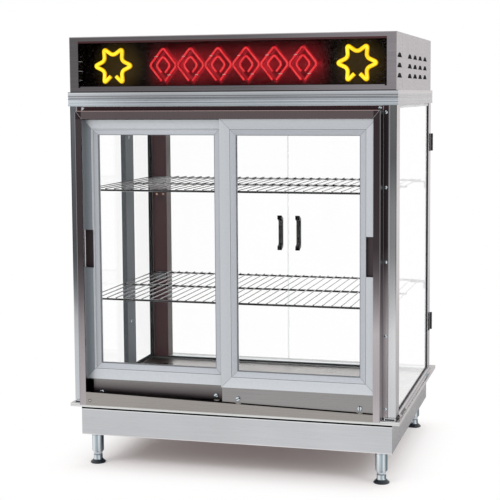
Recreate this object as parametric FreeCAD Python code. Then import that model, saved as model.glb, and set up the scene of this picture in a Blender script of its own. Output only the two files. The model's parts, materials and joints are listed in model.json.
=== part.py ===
import FreeCAD, Part
import math
import os

# Free-standing warming cabinet for popcorn: neon header, two self-closing sliding doors in
# front, two clear hinged doors behind, wire shelves and a heated floor on a blower base.
# Millimetres, +Z up, X to the right seen from the front, front towards -Y. The origin is on
# the floor, in the middle of the outline.

# Heights
total_height = 1182.0
foot_to_base = 87.0
base_height = 83.0
deck_lip = 9.5
rail_height = 8.5
trim_height = 38.0
sign_height = 148.0

# Plan sizes
deck_width = 914.0
deck_depth = 733.0
deck_front_lip = 10.0
deck_rear_lip = 59.0
deck_side_lip = 11.0
base_side_inset = 23.0
base_setback = 15.0
base_rear_inset = 41.0
sheet = 1.5
seat_gap = 0.2
rail_foot = 6.0

# Corner posts and side glass
front_post_width = 21.0
rear_post_width = 12.0
post_depth = 50.0
post_wall = 1.8
post_lip_width = 15.0
post_lip_thickness = 2.0
glass_thickness = 5.0
glass_inset = 3.0
gasket_width = 9.0
gasket_depth = 8.0
glass_bite = 5.0

# Ceiling
pan_vent_count = 8
pan_vent_pitch = 60.0
pan_vent_length = 40.0
pan_vent_width = 6.0
pan_vent_from_front = 300.0
pan_wire_hole = 30.0
pan_wire_margin = 20.0
pan_apron = 30.0
lamp_from_post = 20.0
lamp_width = 46.0
lamp_end_gap = 90.0
lamp_hood_height = 9.0
lamp_cap_length = 14.0
lamp_cap_height = 19.0
lamp_tube_radius = 6.5

# Header trim and sign
trim_proud = 4.0
trim_ledge = 6.0
trim_groove = 1.2
trim_groove_heights = (9.0, 15.0, 22.5)
sign_inset = 1.0
sign_front_depth = 100.0
sign_seam = 0.3
sign_rear_inset = 2.0
window_side_border = 25.0
window_top_border = 17.0
window_bottom_border = 16.0
window_thickness = 3.0
window_overlap = 8.0
back_panel_setback = 90.0
transformer_width = 180.0
transformer_depth = 110.0
transformer_height = 62.0
transformer_from_seam = 60.0
transformer_ear = 20.0
louvre_length = 82.0
louvre_taper = 24.0
louvre_height = 12.5
louvre_depth = 7.0
louvre_pitch = 26.0
louvre_rows = 3
louvre_wall = 1.0
louvre_column_pitch = 101.0
louvre_columns = 4
louvre_first_column = 132.0
louvre_front_column = 53.0
louvre_mid_height = 64.0

# Neon
red_tube_radius = 5.0
yellow_tube_radius = 6.0
tube_sides = 5
neon_setback = 45.0
neon_below_middle = 3.0
diamond_count = 6
diamond_pitch = 77.0
diamond_half_width = 38.0
diamond_half_height = 47.0
diamond_line_gap = 17.0
bend_length = 9.0
star_edge_margin = 109.0
star_outer = 54.0
star_inner = 28.0
star_points = 6
support_radius = 3.0
support_sides = 4

# Sliding door unit
unit_side_margin = 33.5
unit_depth = 49.0
unit_wall = 2.0
top_recess = 12.0
member_width = 18.0
top_member_height = 22.0
unit_bottom_drop = 2.0
flange_thickness = 1.5
flange_margin = 0.3
sill_mid_height = 27.3
track_slope = math.tan(math.radians(1.25))
sill_upstand = 68.0

# Sliding doors
door_end_gap = 8.5
bumper_from_end = 90.0
door_top_bite = 2.5
door_thickness = 16.0
door_front_gap = 3.0
door_spacing = 22.0
door_overlap = 24.0
door_above_unit_bottom = 68.0
stile_width = 45.5
stile_flat = 28.0
door_glass_thickness = 4.0
door_glass_depth = 7.0
door_glass_bite = 7.2
glass_slot_clearance = 0.3
pull_height = 103.0
pull_bottom = 306.0
pull_depth = 13.0

# Door running gear
roller_inset = 45.0
roller_root_radius = 13.4
roller_flange_radius = 15.1
roller_width = 7.5
roller_above_sill = 12.4
roller_sides = 14
screw_sides = 6
pin_sides = 10
axle_radius = 3.0
axle_clearance = 0.06
rib_height = 2.2
rib_width = 2.5
rib_gap = 0.1
skirt_thickness = 1.5
skirt_setback = 3.5
skirt_edge_gap = 2.0
skirt_end_inset = 21.0
track_width = 20.0
fin_thickness = 2.0
fin_height = 20.0

# Rear doors
rear_panel_thickness = 6.0
rear_door_gap = 3.0
rear_door_clear = 0.5
rear_door_edge = 3.0
hinge_height = 52.0
hinge_from_rail = 142.0
hinge_from_top = 118.0
hinge_block = 6.0
hinge_chamfer = 1.4
hinge_clamp = 17.0
hinge_pin_radius = 1.4
hinge_pin_clearance = 0.05
leaf_thickness = 2.0
handle_length = 110.0
handle_height_at = 590.0
handle_from_edge = 22.0
handle_grip = 14.0
handle_reach = 22.0
handle_wall = 7.0

# Shelves
upper_shelf_height = 765.0
middle_shelf_height = 462.0
shelf_side_gap = 5.0
shelf_front_gap = 6.0
shelf_rear_gap = 2.0
wire_radius = 1.5
frame_wire_radius = 3.0
wire_sides = 6
frame_wire_sides = 6
wire_pitch = 25.4
bracket_thickness = 2.0
bracket_drop = 20.0
bracket_tab = 17.0

# Base internals
plenum_width = 660.0
plenum_depth = 360.0
plenum_front = 80.0
plenum_height = 66.0
deck_window_columns = 4
deck_window_rows = 2
deck_window_bar = 14.0
floor_margin = 15.0
floor_slot_length = 70.0
floor_slot_width = 5.0
floor_slot_columns = 6
floor_slot_rows = 4
heater_radius = 4.0
heater_sides = 5
heater_bend_steps = 4
heater_runs = 6
heater_run_pitch = 50.0
heater_run_length = 250.0
heater_back_gap = 36.0
heater_lead = 12.0
heater_depth_below = 34.0
blower_from_front = 535.0
intake_slot_count = 6
intake_slot_pitch = 60.0
intake_slot_width = 10.0
intake_slot_length = 120.0
blower_wheel_radius = 55.0
blower_height = 66.0
blower_blades = 10
blower_sides = 12
motor_radius = 24.0

# Controls at the back of the base
panel_width = 240.0
panel_height = 56.0
panel_centre = 260.0
rocker_width = 14.0
rocker_height = 26.0
rocker_pitch = 50.0
rocker_from_end = 45.0
knob_from_end = 50.0
rocker_tilt = 10.0
rocker_pin_radius = 1.5
knob_radius = 17.0
knob_depth = 16.0
knob_stem_radius = 3.0
gland_offset = 340.0
lead_radius = 4.0

# Legs
leg_radius = 16.5
leg_inset = 33.0
neck_radius = 12.5
foot_sides = 14
leg_sides = 18
neck_height = 14.0
pad_height = 12.0
pad_radius = 21.5
stem_radius = 6.0
stem_clearance = 0.1
stem_length = 34.0
stem_end_gap = 6.0
base_flange = 55.0

# Fixed wiring covers inside
raceway_width = 68.0
raceway_depth = 14.0
raceway_from_front = 352.0
riser_width = 48.0
riser_depth = 44.0

# Levels
base_bottom = foot_to_base
deck_bottom = base_bottom + base_height
deck_top = deck_bottom + deck_lip
deck_under = deck_top - sheet
rail_top = deck_top + rail_height
sign_top = total_height
trim_top = sign_top - sign_height
post_top = trim_top - trim_height
pan_top = post_top + sheet

# Plan lines
half_cabinet = deck_width / 2 - deck_side_lip
post_front = (unit_depth - (deck_depth - deck_front_lip)) / 2
deck_front = post_front - deck_front_lip
deck_rear = deck_front + deck_depth
post_rear = deck_rear - deck_rear_lip
base_front = post_front + base_setback
base_rear = deck_rear - base_rear_inset
half_base = deck_width / 2 - base_side_inset
half_sign = half_cabinet - sign_inset
star_offset = half_sign - star_edge_margin
glass_outer = half_cabinet - glass_inset
glass_inner = glass_outer - glass_thickness
gasket_outer = half_cabinet - (glass_inset * 2 + glass_thickness - gasket_width) / 2
front_post_inner = half_cabinet - front_post_width
rear_post_inner = half_cabinet - rear_post_width
side_front = post_front + post_depth
side_rear = post_rear - post_depth

# Door unit lines
unit_front = post_front - unit_depth
half_unit = half_cabinet - unit_side_margin
unit_top = post_top - top_recess
unit_bottom = rail_top - unit_bottom_drop
unit_floor = unit_bottom + unit_wall
inner_half = half_unit - member_width
inner_top = unit_top - top_member_height
door_bottom = unit_bottom + door_above_unit_bottom
door_top = inner_top + door_top_bite
door_reach = half_unit - door_end_gap
door_width = door_reach + door_overlap / 2
roller_spacing = door_width - 2 * roller_inset
right_door_front = unit_front + unit_wall + door_front_gap
left_door_front = right_door_front + door_spacing
floor_below_sill = roller_root_radius + rib_gap + rib_height - roller_above_sill
hinge_heights = (rail_top + hinge_from_rail, post_top - hinge_from_top)
half_shelf = front_post_inner - shelf_side_gap


def vec(x, y, z):
    return FreeCAD.Vector(x, y, z)


def box(x0, x1, y0, y1, z0, z1):
    low = vec(min(x0, x1), min(y0, y1), min(z0, z1))
    return Part.makeBox(abs(x1 - x0), abs(y1 - y0), abs(z1 - z0), low)


def rod(start, end, radius):
    line = end - start
    return Part.makeCylinder(radius, line.Length, start, line)


def fuse(shapes):
    result = shapes[0]
    if len(shapes) > 1:
        result = shapes[0].multiFuse(shapes[1:])
    return result.removeSplitter()


def cut(shape, tools):
    for tool in tools:
        shape = shape.cut(tool)
    return shape


def save(name, shapes):
    shape = shapes[0] if len(shapes) == 1 else Part.makeCompound(shapes)
    shape.exportStep("parts/" + name + ".step")


def mirrored(shape):
    return shape.mirror(vec(0, 0, 0), vec(1, 0, 0))


def solid_between(first, second):
    """Closed solid whose two ends are given as rings of points in the same order."""
    count = len(first)
    faces = [Part.Face(Part.makePolygon(first + [first[0]]))]
    faces.append(Part.Face(Part.makePolygon(second + [second[0]])))
    for i in range(count):
        j = (i + 1) % count
        ring = [first[i], first[j], second[j], second[i], first[i]]
        faces.append(Part.Face(Part.makePolygon(ring)))
    solid = Part.makeSolid(Part.makeShell(faces))
    if solid.Volume < 0:
        solid.reverse()
    return solid


def prism_xz(points, y0, y1):
    return solid_between([vec(x, y0, z) for x, z in points], [vec(x, y1, z) for x, z in points])


def prism_xy(points, z0, z1):
    return solid_between([vec(x, y, z0) for x, y in points], [vec(x, y, z1) for x, y in points])


def prism_yz(points, x0, x1):
    return solid_between([vec(x0, y, z) for y, z in points], [vec(x1, y, z) for y, z in points])


def shell_of(rings):
    """Closed solid through rings of points, with a flat cap on the first and the last."""
    faces = [Part.Face(Part.makePolygon(ring + [ring[0]])) for ring in (rings[0], rings[-1])]
    for first, second in zip(rings[:-1], rings[1:]):
        for i in range(len(first)):
            j = (i + 1) % len(first)
            loop = [first[i], first[j], second[j], second[i], first[i]]
            faces.append(Part.Face(Part.makePolygon(loop)))
    solid = Part.makeSolid(Part.makeShell(faces))
    if solid.Volume < 0:
        solid.reverse()
    return solid


def flat_tube(points, radius, sides, normal):
    """Tube along a route in one plane, mitred where its runs meet; the flats are at radius."""
    corner = radius / math.cos(math.pi / sides)
    rings = []
    last = len(points) - 1
    for i, p in enumerate(points):
        before = (p - points[max(i - 1, 0)]) if i else (points[1] - p)
        after = (points[min(i + 1, last)] - p) if i < last else before
        before, after = before.normalize(), after.normalize()
        along = (before + after).normalize()
        side = along.cross(normal).normalize() / max(along.dot(after), 0.2)
        ring = []
        for k in range(sides):
            angle = 2 * math.pi * (k + 0.5) / sides
            ring.append(p + side * (corner * math.sin(angle)) + normal * (corner * math.cos(angle)))
        rings.append(ring)
    return shell_of(rings)


def turned(profile, sides, origin, axis):
    """Faceted turning about an axis; profile gives radius and distance along the axis."""
    axis = vec(axis.x, axis.y, axis.z).normalize()
    across = vec(0, 0, 1) if abs(axis.z) < 0.5 else vec(1, 0, 0)
    third = axis.cross(across)
    rings = []
    for radius, along in profile:
        ring = []
        for k in range(sides):
            angle = 2 * math.pi * (k + 0.5) / sides
            spoke = across * (radius * math.cos(angle)) + third * (radius * math.sin(angle))
            ring.append(origin + axis * along + spoke)
        rings.append(ring)
    return shell_of(rings)


def pin(start, end, radius):
    """Faceted pin that lies inside the round one."""
    line = end - start
    return turned([(radius, 0), (radius, line.Length)], pin_sides, start, line)


def bore(start, end, radius):
    """Faceted hole that lies outside the round one, for pieces that don't turn in it."""
    line = end - start
    corner = radius / math.cos(math.pi / pin_sides)
    return turned([(corner, 0), (corner, line.Length)], pin_sides, start, line)


def bent(points, length):
    """The route with each inner corner cut back, so that it turns in two steps."""
    route = [points[0]]
    for a, b, c in zip(points[:-2], points[1:-1], points[2:]):
        route.append(b + (a - b).normalize() * length)
        route.append(b + (c - b).normalize() * length)
    return route + [points[-1]]


def sill_top_at(x):
    """Top edge of the sill: it falls to the right with the front track."""
    return unit_bottom + sill_mid_height - track_slope * x


def track_top_at(x, side):
    """Running surface beside the rib; side is 1 on the right door's track, -1 on the left's."""
    return unit_bottom + sill_mid_height - track_slope * x * side - floor_below_sill


# Base

def base_skirt():
    y0, y1 = base_front, base_rear
    body = box(-half_base, half_base, y0, y1, base_bottom, deck_under)
    inner = box(-half_base + sheet, half_base - sheet, y0 + sheet, y1 - sheet,
                base_bottom + sheet, deck_under)
    opening = box(-half_base + base_flange, half_base - base_flange, y0 + base_flange,
                  y1 - base_flange, base_bottom, base_bottom + sheet)
    border = panel_border
    panel_hole = box(panel_centre - panel_width / 2 + border,
                     panel_centre + panel_width / 2 - border,
                     y1 - sheet, y1, panel_low + border, panel_high - border)
    gland = bore(vec(-gland_offset, y1 - sheet, panel_mid), vec(-gland_offset, y1, panel_mid),
                 gland_radius + seat_gap)
    return cut(body, [inner, opening, panel_hole, gland])


def base_bottom_cover():
    reach = (base_flange - leg_inset) / 2
    plate = box(-half_base + base_flange - reach, half_base - base_flange + reach,
                base_front + base_flange - reach, base_rear - base_flange + reach,
                base_bottom + sheet, base_bottom + 2 * sheet)
    slots = []
    y0 = post_front + blower_from_front - intake_slot_length / 2
    for i in range(intake_slot_count):
        x = (i - (intake_slot_count - 1) / 2) * intake_slot_pitch
        slots.append(box(x - intake_slot_width / 2, x + intake_slot_width / 2, y0,
                         y0 + intake_slot_length, base_bottom, deck_bottom))
    return cut(plate, slots)


def deck():
    top = box(-deck_width / 2, deck_width / 2, deck_front, deck_rear, deck_bottom, deck_top)
    under = box(-deck_width / 2 + sheet, deck_width / 2 - sheet, deck_front + sheet,
                deck_rear - sheet, deck_bottom, deck_under)
    windows = []
    pitch_x = plenum_width / deck_window_columns
    pitch_y = plenum_depth / deck_window_rows
    for i in range(deck_window_columns):
        for j in range(deck_window_rows):
            x0 = -plenum_width / 2 + i * pitch_x + deck_window_bar / 2
            y0 = post_front + plenum_front + j * pitch_y + deck_window_bar / 2
            windows.append(box(x0, x0 + pitch_x - deck_window_bar, y0,
                               y0 + pitch_y - deck_window_bar, deck_bottom, deck_top))
    return top.cut(under).cut(Part.makeCompound(windows))


def plenum_box():
    y0 = post_front + plenum_front
    y1 = y0 + plenum_depth
    half = plenum_width / 2
    body = box(-half, half, y0, y1, deck_under - plenum_height, deck_under)
    inner = box(-half + sheet, half - sheet, y0 + sheet, y1 - sheet,
                deck_under - plenum_height + sheet, deck_under)
    lip = box(-half - floor_margin, half + floor_margin, y0 - floor_margin, y1 + floor_margin,
              deck_under - sheet, deck_under)
    lip = lip.cut(box(-half + sheet, half - sheet, y0 + sheet, y1 - sheet, deck_bottom - 9,
                      deck_top))
    inlet = box(-outlet_half_width, outlet_half_width, y1 - sheet, y1, blower_low + 8,
                blower_low + blower_height - 8)
    x0 = heater_centre_x() - heater_run_pitch * (heater_runs - 1) / 2
    r = heater_radius * 1.2 + seat_gap
    leads = [box(x - r, x + r, y1 - sheet, y1, heater_level - r, heater_level + r)
             for x in (x0, x0 + heater_run_pitch * (heater_runs - 1))]
    return cut(fuse([body.cut(inner), lip]), [inlet] + leads)


def heater_centre_x():
    return -plenum_width / 4


def perforated_floor():
    y0 = post_front + plenum_front - floor_margin
    y1 = y0 + plenum_depth + 2 * floor_margin
    half = plenum_width / 2 + floor_margin
    plate = box(-half, half, y0, y1, deck_top, deck_top + sheet)
    slots = []
    for i in range(floor_slot_columns):
        for j in range(floor_slot_rows):
            x = (i - (floor_slot_columns - 1) / 2) * plenum_width / floor_slot_columns
            y = y0 + floor_margin + (j + 0.5) * plenum_depth / floor_slot_rows
            slots.append(box(x - floor_slot_length / 2, x + floor_slot_length / 2,
                             y - floor_slot_width / 2, y + floor_slot_width / 2,
                             deck_top, deck_top + sheet))
    return plate.cut(Part.makeCompound(slots))


def heater_element():
    """Serpentine rod heater; both ends leave through the back wall of the plenum."""
    y_back = post_front + plenum_front + plenum_depth
    y_far = y_back - heater_back_gap
    y_near = y_far - heater_run_length
    x0 = heater_centre_x() - heater_run_pitch * (heater_runs - 1) / 2
    r = heater_run_pitch / 2
    route = [vec(x0, y_back + heater_lead, heater_level)]
    for i in range(heater_runs - 1):
        y, turn = (y_near, -1) if i % 2 == 0 else (y_far, 1)
        centre = x0 + i * heater_run_pitch + r
        for k in range(heater_bend_steps + 1):
            angle = math.pi * (1 - k / heater_bend_steps)
            route.append(vec(centre + r * math.cos(angle), y + turn * r * math.sin(angle),
                             heater_level))
    route.append(vec(x0 + (heater_runs - 1) * heater_run_pitch, y_back + heater_lead,
                     heater_level))
    return flat_tube(route, heater_radius, heater_sides, vec(0, 0, 1))


def blower_centre():
    return vec(0, post_front + blower_from_front, 0)


def upright(radius, z0, z1):
    """Faceted drum on the blower's axis."""
    c = blower_centre()
    return turned([(radius, z0), (radius, z1)], blower_sides, c, vec(0, 0, 1))


def blower_unit():
    c = blower_centre()
    r = blower_wheel_radius + 8
    top = blower_low + blower_height
    throat_start = post_front + plenum_front + plenum_depth
    drum = upright(r, blower_low, top)
    throat = box(c.x - outlet_half_width, c.x + outlet_half_width, throat_start + seat_gap, c.y,
                 blower_low, top)
    hollow = upright(r - 2, blower_low + 2, top - 2)
    duct = box(c.x - outlet_half_width + 2, c.x + outlet_half_width - 2, throat_start - 2, c.y,
               blower_low + 2, top - 2)
    intake = upright(blower_wheel_radius - 15, top - 3, top + 3)
    feet = [box(c.x + s * (r - 14), c.x + s * (r + 12), c.y - 15, c.y + 15,
                base_bottom + 2 * sheet, blower_low) for s in (-1, 1)]
    housing = fuse([cut(drum.fuse(throat), [hollow.fuse(duct), intake])] + feet)
    floor_level = blower_low + 2
    motor = upright(motor_radius, floor_level, floor_level + motor_height)
    shaft = pin(vec(c.x, c.y, floor_level + motor_height),
                vec(c.x, c.y, floor_level + motor_height + shaft_length), knob_stem_radius)
    return [housing, fuse([motor, shaft])]


def blower_wheel():
    c = blower_centre()
    z0 = blower_low + 2 + motor_height + 2
    disc = upright(blower_wheel_radius, z0, z0 + 2)
    rim = upright(blower_wheel_radius, blower_low + 6, blower_low + 9)
    rim = rim.cut(upright(blower_wheel_radius - 12, blower_low + 5, blower_low + 10))
    blades = []
    for i in range(blower_blades):
        blade = box(blower_wheel_radius - 12, blower_wheel_radius - 2, -0.7, 0.7,
                    blower_low + 9, z0)
        blade.rotate(vec(blower_wheel_radius - 7, 0, 0), vec(0, 0, 1), 30)
        blade.rotate(vec(0, 0, 0), vec(0, 0, 1), 360.0 * (i + 0.5) / blower_blades)
        blade.translate(c)
        blades.append(blade)
    wheel = disc.multiFuse([rim] + blades)
    return wheel.cut(rod(vec(c.x, c.y, z0 - 5), vec(c.x, c.y, z0 + 25),
                         knob_stem_radius + axle_clearance))


# Controls

def rocker_places():
    x0 = panel_centre - panel_width / 2 + rocker_from_end
    return [x0, x0 + rocker_pitch]


def knob_place():
    return panel_centre + panel_width / 2 - knob_from_end


def control_panel():
    plate = box(panel_centre - panel_width / 2, panel_centre + panel_width / 2,
                base_rear, base_rear + sheet, panel_low, panel_high)
    holes = []
    for x in rocker_places():
        holes.append(box(x - rocker_width / 2 - 3, x + rocker_width / 2 + 3, base_rear,
                         base_rear + sheet, panel_mid - rocker_height / 2 - 3,
                         panel_mid + rocker_height / 2 + 3))
    holes.append(bore(vec(knob_place(), base_rear, panel_mid),
                      vec(knob_place(), base_rear + sheet, panel_mid), knob_stem_radius + 1))
    return cut(plate, holes)


def control_bodies():
    """Two rocker switch bodies in the panel and the thermostat behind it."""
    bodies = []
    for x in rocker_places():
        w, h = rocker_width / 2, rocker_height / 2
        inside = box(x - w - 2.8, x + w + 2.8, base_rear - 22, base_rear + sheet,
                     panel_mid - h - 2.8, panel_mid + h + 2.8)
        rim = box(x - w - 5, x + w + 5, base_rear + sheet, base_rear + sheet + 2,
                  panel_mid - h - 5, panel_mid + h + 5)
        well = box(x - w, x + w, base_rear - 12, base_rear + sheet + 2,
                   panel_mid - h, panel_mid + h)
        pivot = pin(vec(x - w - 1, rocker_pivot_y, panel_mid),
                    vec(x + w + 1, rocker_pivot_y, panel_mid), rocker_pin_radius)
        bodies.append(fuse([fuse([inside, rim]).cut(well), pivot]))
    x = knob_place()
    case = box(x - 20, x + 20, base_rear - 36, base_rear - seat_gap, panel_mid - 20,
               panel_mid + 20)
    stem = pin(vec(x, base_rear - 1, panel_mid), vec(x, base_rear + sheet + 12, panel_mid),
               knob_stem_radius)
    bodies.append(fuse([case, stem]))
    return bodies


def rocker(x):
    """Rocker paddle, its ends bent so that one end stands proud and the other is pressed."""
    w, h = rocker_width / 2 - 0.4, rocker_height / 2 - 1.2
    y0 = rocker_pivot_y
    outline = [(y0 - 3, panel_mid - 3), (y0 - 3, panel_mid + 3), (y0 + 3.5, panel_mid + h),
               (y0 + 7, panel_mid + h), (y0 + 5, panel_mid), (y0 + 7, panel_mid - h),
               (y0 + 3.5, panel_mid - h)]
    paddle = prism_yz(outline, x - w, x + w)
    paddle = paddle.cut(rod(vec(x - w - 1, y0, panel_mid), vec(x + w + 1, y0, panel_mid),
                            rocker_pin_radius + axle_clearance))
    paddle.rotate(vec(x, y0, panel_mid), vec(1, 0, 0), rocker_tilt)
    return paddle


def thermostat_knob():
    """Knob with a faceted skirt and a raised grip bar."""
    x = knob_place()
    start = vec(x, base_rear + sheet + 0.5, panel_mid)
    back = vec(0, 1, 0)
    skirt = turned([(knob_radius, 0), (knob_radius * 0.85, 5)], 12, start, back)
    grip = box(x - 4, x + 4, start.y + 4, start.y + knob_depth, panel_mid - knob_radius * 0.9,
               panel_mid + knob_radius * 0.9)
    return fuse([skirt, grip]).cut(rod(start - back, vec(x, base_rear + sheet + 12.5, panel_mid),
                                       knob_stem_radius + axle_clearance))


def cord_gland():
    """Hexagonal gland with its lock nut; its bore takes the supply lead."""
    start = vec(-gland_offset, base_rear, panel_mid)
    back = vec(0, 1, 0)
    outer = gland_radius + 4
    collar = turned([(outer, 0), (outer, 3), (outer - 3, 6)], 6, start, back)
    nut = turned([(outer, -sheet - 5), (outer, -sheet)], 6, start, back)
    barrel = turned([(gland_radius, -8), (gland_radius, 1)], pin_sides, start, back)
    hole = rod(start - back * 9, start + back * 7, lead_radius)
    return fuse([barrel, collar, nut]).cut(hole)


# Legs

def leg_places():
    xs = (-half_base + leg_inset, half_base - leg_inset)
    ys = (base_front + leg_inset, base_rear - leg_inset)
    return [(x, y) for y in ys for x in xs]


def leg_tube(x, y):
    """Leg tube with the bore that the foot's stem turns in."""
    z0 = pad_height + neck_height
    tube = turned([(leg_radius, z0), (leg_radius, base_bottom)], leg_sides, vec(x, y, 0),
                  vec(0, 0, 1))
    return tube.cut(bore(vec(x, y, z0), vec(x, y, z0 + stem_length + stem_end_gap),
                         stem_radius + stem_clearance))


def foot(x, y):
    """Levelling foot: flared pad, round neck and the stem that screws into the leg."""
    z1 = pad_height + neck_height - seat_gap
    profile = [(pad_radius, 0), (pad_radius, 2), (neck_radius, pad_height), (neck_radius, z1 - 1.5),
               (neck_radius - 1.5, z1)]
    pad = turned(profile, foot_sides, vec(x, y, 0), vec(0, 0, 1))
    return fuse([pad, pin(vec(x, y, z1), vec(x, y, z1 + stem_length), stem_radius)])


# Cabinet frame

def front_post():
    x0, x1 = front_post_inner, half_cabinet
    tube = box(x0, x1, post_front, side_front, rail_top, post_top)
    bore = box(x0 + post_wall, x1 - post_wall, post_front + post_wall, side_front - post_wall,
               rail_top, post_top)
    lip = box(x0 - post_lip_width, x0, post_front, post_front + post_lip_thickness,
              rail_top, post_top)
    return fuse([tube.cut(bore), lip])


def rear_post():
    x0, x1 = rear_post_inner, half_cabinet
    tube = box(x0, x1, side_rear, post_rear, rail_top, post_top)
    bore = box(x0 + post_wall, x1 - post_wall, side_rear + post_wall, post_rear - post_wall,
               rail_top, post_top)
    return tube.cut(bore)


def bottom_rails():
    """Channels that the posts and the side glass stand on."""
    y0, y1 = post_front + 3, side_front - 4
    half = half_cabinet - 2
    front = box(-half, half, y0, y1, deck_top, rail_top)
    front = front.cut(box(-half, half, y0, y1 - sheet, deck_top + sheet, rail_top - sheet))
    slope = [(half_cabinet - 1, rail_top), (gasket_outer - gasket_width - 2, rail_top),
             (gasket_outer - gasket_width - 2, deck_top), (half_cabinet + rail_foot, deck_top)]
    side = prism_xz(slope, y1 + seat_gap, post_rear)
    rear = box(-gasket_outer + gasket_width + 2 + seat_gap, gasket_outer - gasket_width - 2 - seat_gap,
               post_rear - 30, post_rear, deck_top, rail_top)
    rear = rear.cut(box(-half, half, post_rear - 30, post_rear - sheet, deck_top + sheet,
                        rail_top - sheet))
    return [front, side, mirrored(side), rear]


def side_glass():
    edge = gasket_depth - glass_bite
    return box(glass_inner, glass_outer, side_front + edge, side_rear - edge,
               rail_top + edge, post_top - edge)


def glazing_gasket():
    outer = box(gasket_outer - gasket_width, gasket_outer, side_front, side_rear, rail_top, post_top)
    inner = box(gasket_outer - gasket_width, gasket_outer, side_front + gasket_depth,
                side_rear - gasket_depth, rail_top + gasket_depth, post_top - gasket_depth)
    edge = gasket_depth - glass_bite - seat_gap
    groove = box(glass_inner - seat_gap, glass_outer + seat_gap, side_front + edge,
                 side_rear - edge, rail_top + edge, post_top - edge)
    return cut(outer, [inner, groove])


def ceiling_pan():
    plate = box(-half_cabinet, half_cabinet, post_front, post_rear, post_top, pan_top)
    half = front_post_inner - post_lip_width - seat_gap
    apron = box(-half, half, post_front, post_front + sheet, post_top - pan_apron, post_top)
    vents = []
    y0 = post_front + pan_vent_from_front
    for i in range(pan_vent_count):
        x = (i - (pan_vent_count - 1) / 2) * pan_vent_pitch
        vents.append(box(x - pan_vent_length / 2, x + pan_vent_length / 2, y0,
                         y0 + pan_vent_width, post_top, pan_top))
    x, y = -half_cabinet + pan_wire_margin, post_rear - pan_wire_margin
    wires = box(x, x + pan_wire_hole, y - pan_wire_margin, y, post_top, pan_top)
    return cut(fuse([plate, apron]), vents + [wires])


def header_trim():
    """Four mitred lengths of grooved band that hide the joint of cabinet and sign."""
    half_x = half_cabinet + trim_proud
    y0, y1 = post_front - trim_proud, post_rear + trim_proud
    profile = [(0, 0)]
    for z in trim_groove_heights:
        profile += [(0, z - trim_groove), (trim_groove, z), (0, z + trim_groove)]
    profile += [(0, trim_height), (trim_proud + trim_ledge, trim_height),
                (trim_proud + trim_ledge, sheet), (trim_proud - seat_gap, sheet),
                (trim_proud - seat_gap, 0)]
    corners = [(-half_x, y0, 1, 1), (half_x, y0, -1, 1), (half_x, y1, -1, -1), (-half_x, y1, 1, -1)]
    rings = [[vec(x + u * sx, y + u * sy, post_top + z) for u, z in profile]
             for x, y, sx, sy in corners]
    return [solid_between(rings[i], rings[(i + 1) % 4]) for i in range(4)]


# Header sign

def gill(y, z, grow):
    """Wedge with tapered ends, open at the wall's face and along its lower edge."""
    x0, x1 = half_sign, half_sign - louvre_depth - grow
    low, high = z - louvre_height / 2, z + louvre_height / 2 + grow
    long = louvre_length / 2 + grow
    short = long - louvre_taper
    face = [vec(x0, y - long, low), vec(x0, y + long, low), vec(x0, y + short, high),
            vec(x0, y - short, high)]
    edge = [vec(x1, y - short, low), vec(x1, y + short, low)]
    loops = [face, [face[0], face[1], edge[1], edge[0]], [face[1], face[2], edge[1]],
             [face[2], face[3], edge[0], edge[1]], [face[3], face[0], edge[0]]]
    faces = [Part.Face(Part.makePolygon(loop + [loop[0]])) for loop in loops]
    solid = Part.makeSolid(Part.makeShell(faces))
    if solid.Volume < 0:
        solid.reverse()
    return solid


def louvre(y, z):
    """Pressed louvre of the right-hand wall: its flap and the space in front of the flap."""
    return gill(y, z, louvre_wall), gill(y, z, 0)


def louvre_heights():
    z = trim_top + louvre_mid_height
    return [z + (i - (louvre_rows - 1) / 2) * louvre_pitch for i in range(louvre_rows)]


def with_louvres(shell, columns):
    flaps, spaces = [], []
    for y in columns:
        for z in louvre_heights():
            flap, space = louvre(y, z)
            flaps += [flap, mirrored(flap)]
            spaces += [space, mirrored(space)]
    shell = shell.multiFuse(flaps)
    return shell.cut(Part.makeCompound(spaces))


def sign_front_housing():
    y0 = post_front
    y1 = y0 + sign_front_depth
    body = box(-half_sign, half_sign, y0, y1, trim_top, sign_top)
    inner = box(-half_sign + sheet, half_sign - sheet, y0 + sheet, y1, trim_top + sheet,
                sign_top - sheet)
    window = box(-half_sign + window_side_border, half_sign - window_side_border, y0, y0 + sheet,
                 trim_top + window_bottom_border, sign_top - window_top_border)
    return with_louvres(cut(body, [inner, window]), [y0 + louvre_front_column])


def sign_rear_housing():
    y0 = post_front + sign_front_depth + sign_seam
    y1 = post_rear - sign_rear_inset
    body = box(-half_sign, half_sign, y0, y1, trim_top, sign_top)
    inner = box(-half_sign + sheet, half_sign - sheet, y0, y1 - sheet, trim_top,
                sign_top - sheet)
    columns = [post_front + sign_front_depth + louvre_first_column + i * louvre_column_pitch
               for i in range(louvre_columns)]
    return with_louvres(body.cut(inner), columns)


def sign_window():
    y0 = post_front + sheet + seat_gap
    grow = window_overlap
    return box(-half_sign + window_side_border - grow, half_sign - window_side_border + grow,
               y0, y0 + window_thickness, trim_top + window_bottom_border - grow,
               sign_top - window_top_border + grow)


def sign_back_panel():
    y0 = post_front + back_panel_setback
    return box(-half_sign + sheet + seat_gap, half_sign - sheet - seat_gap, y0, y0 + sheet,
               trim_top + sheet + seat_gap, sign_top - sheet - seat_gap)


def neon_centre():
    middle = (trim_top + window_bottom_border + sign_top - window_top_border) / 2
    return vec(0, post_front + neon_setback, middle - neon_below_middle)


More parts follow.
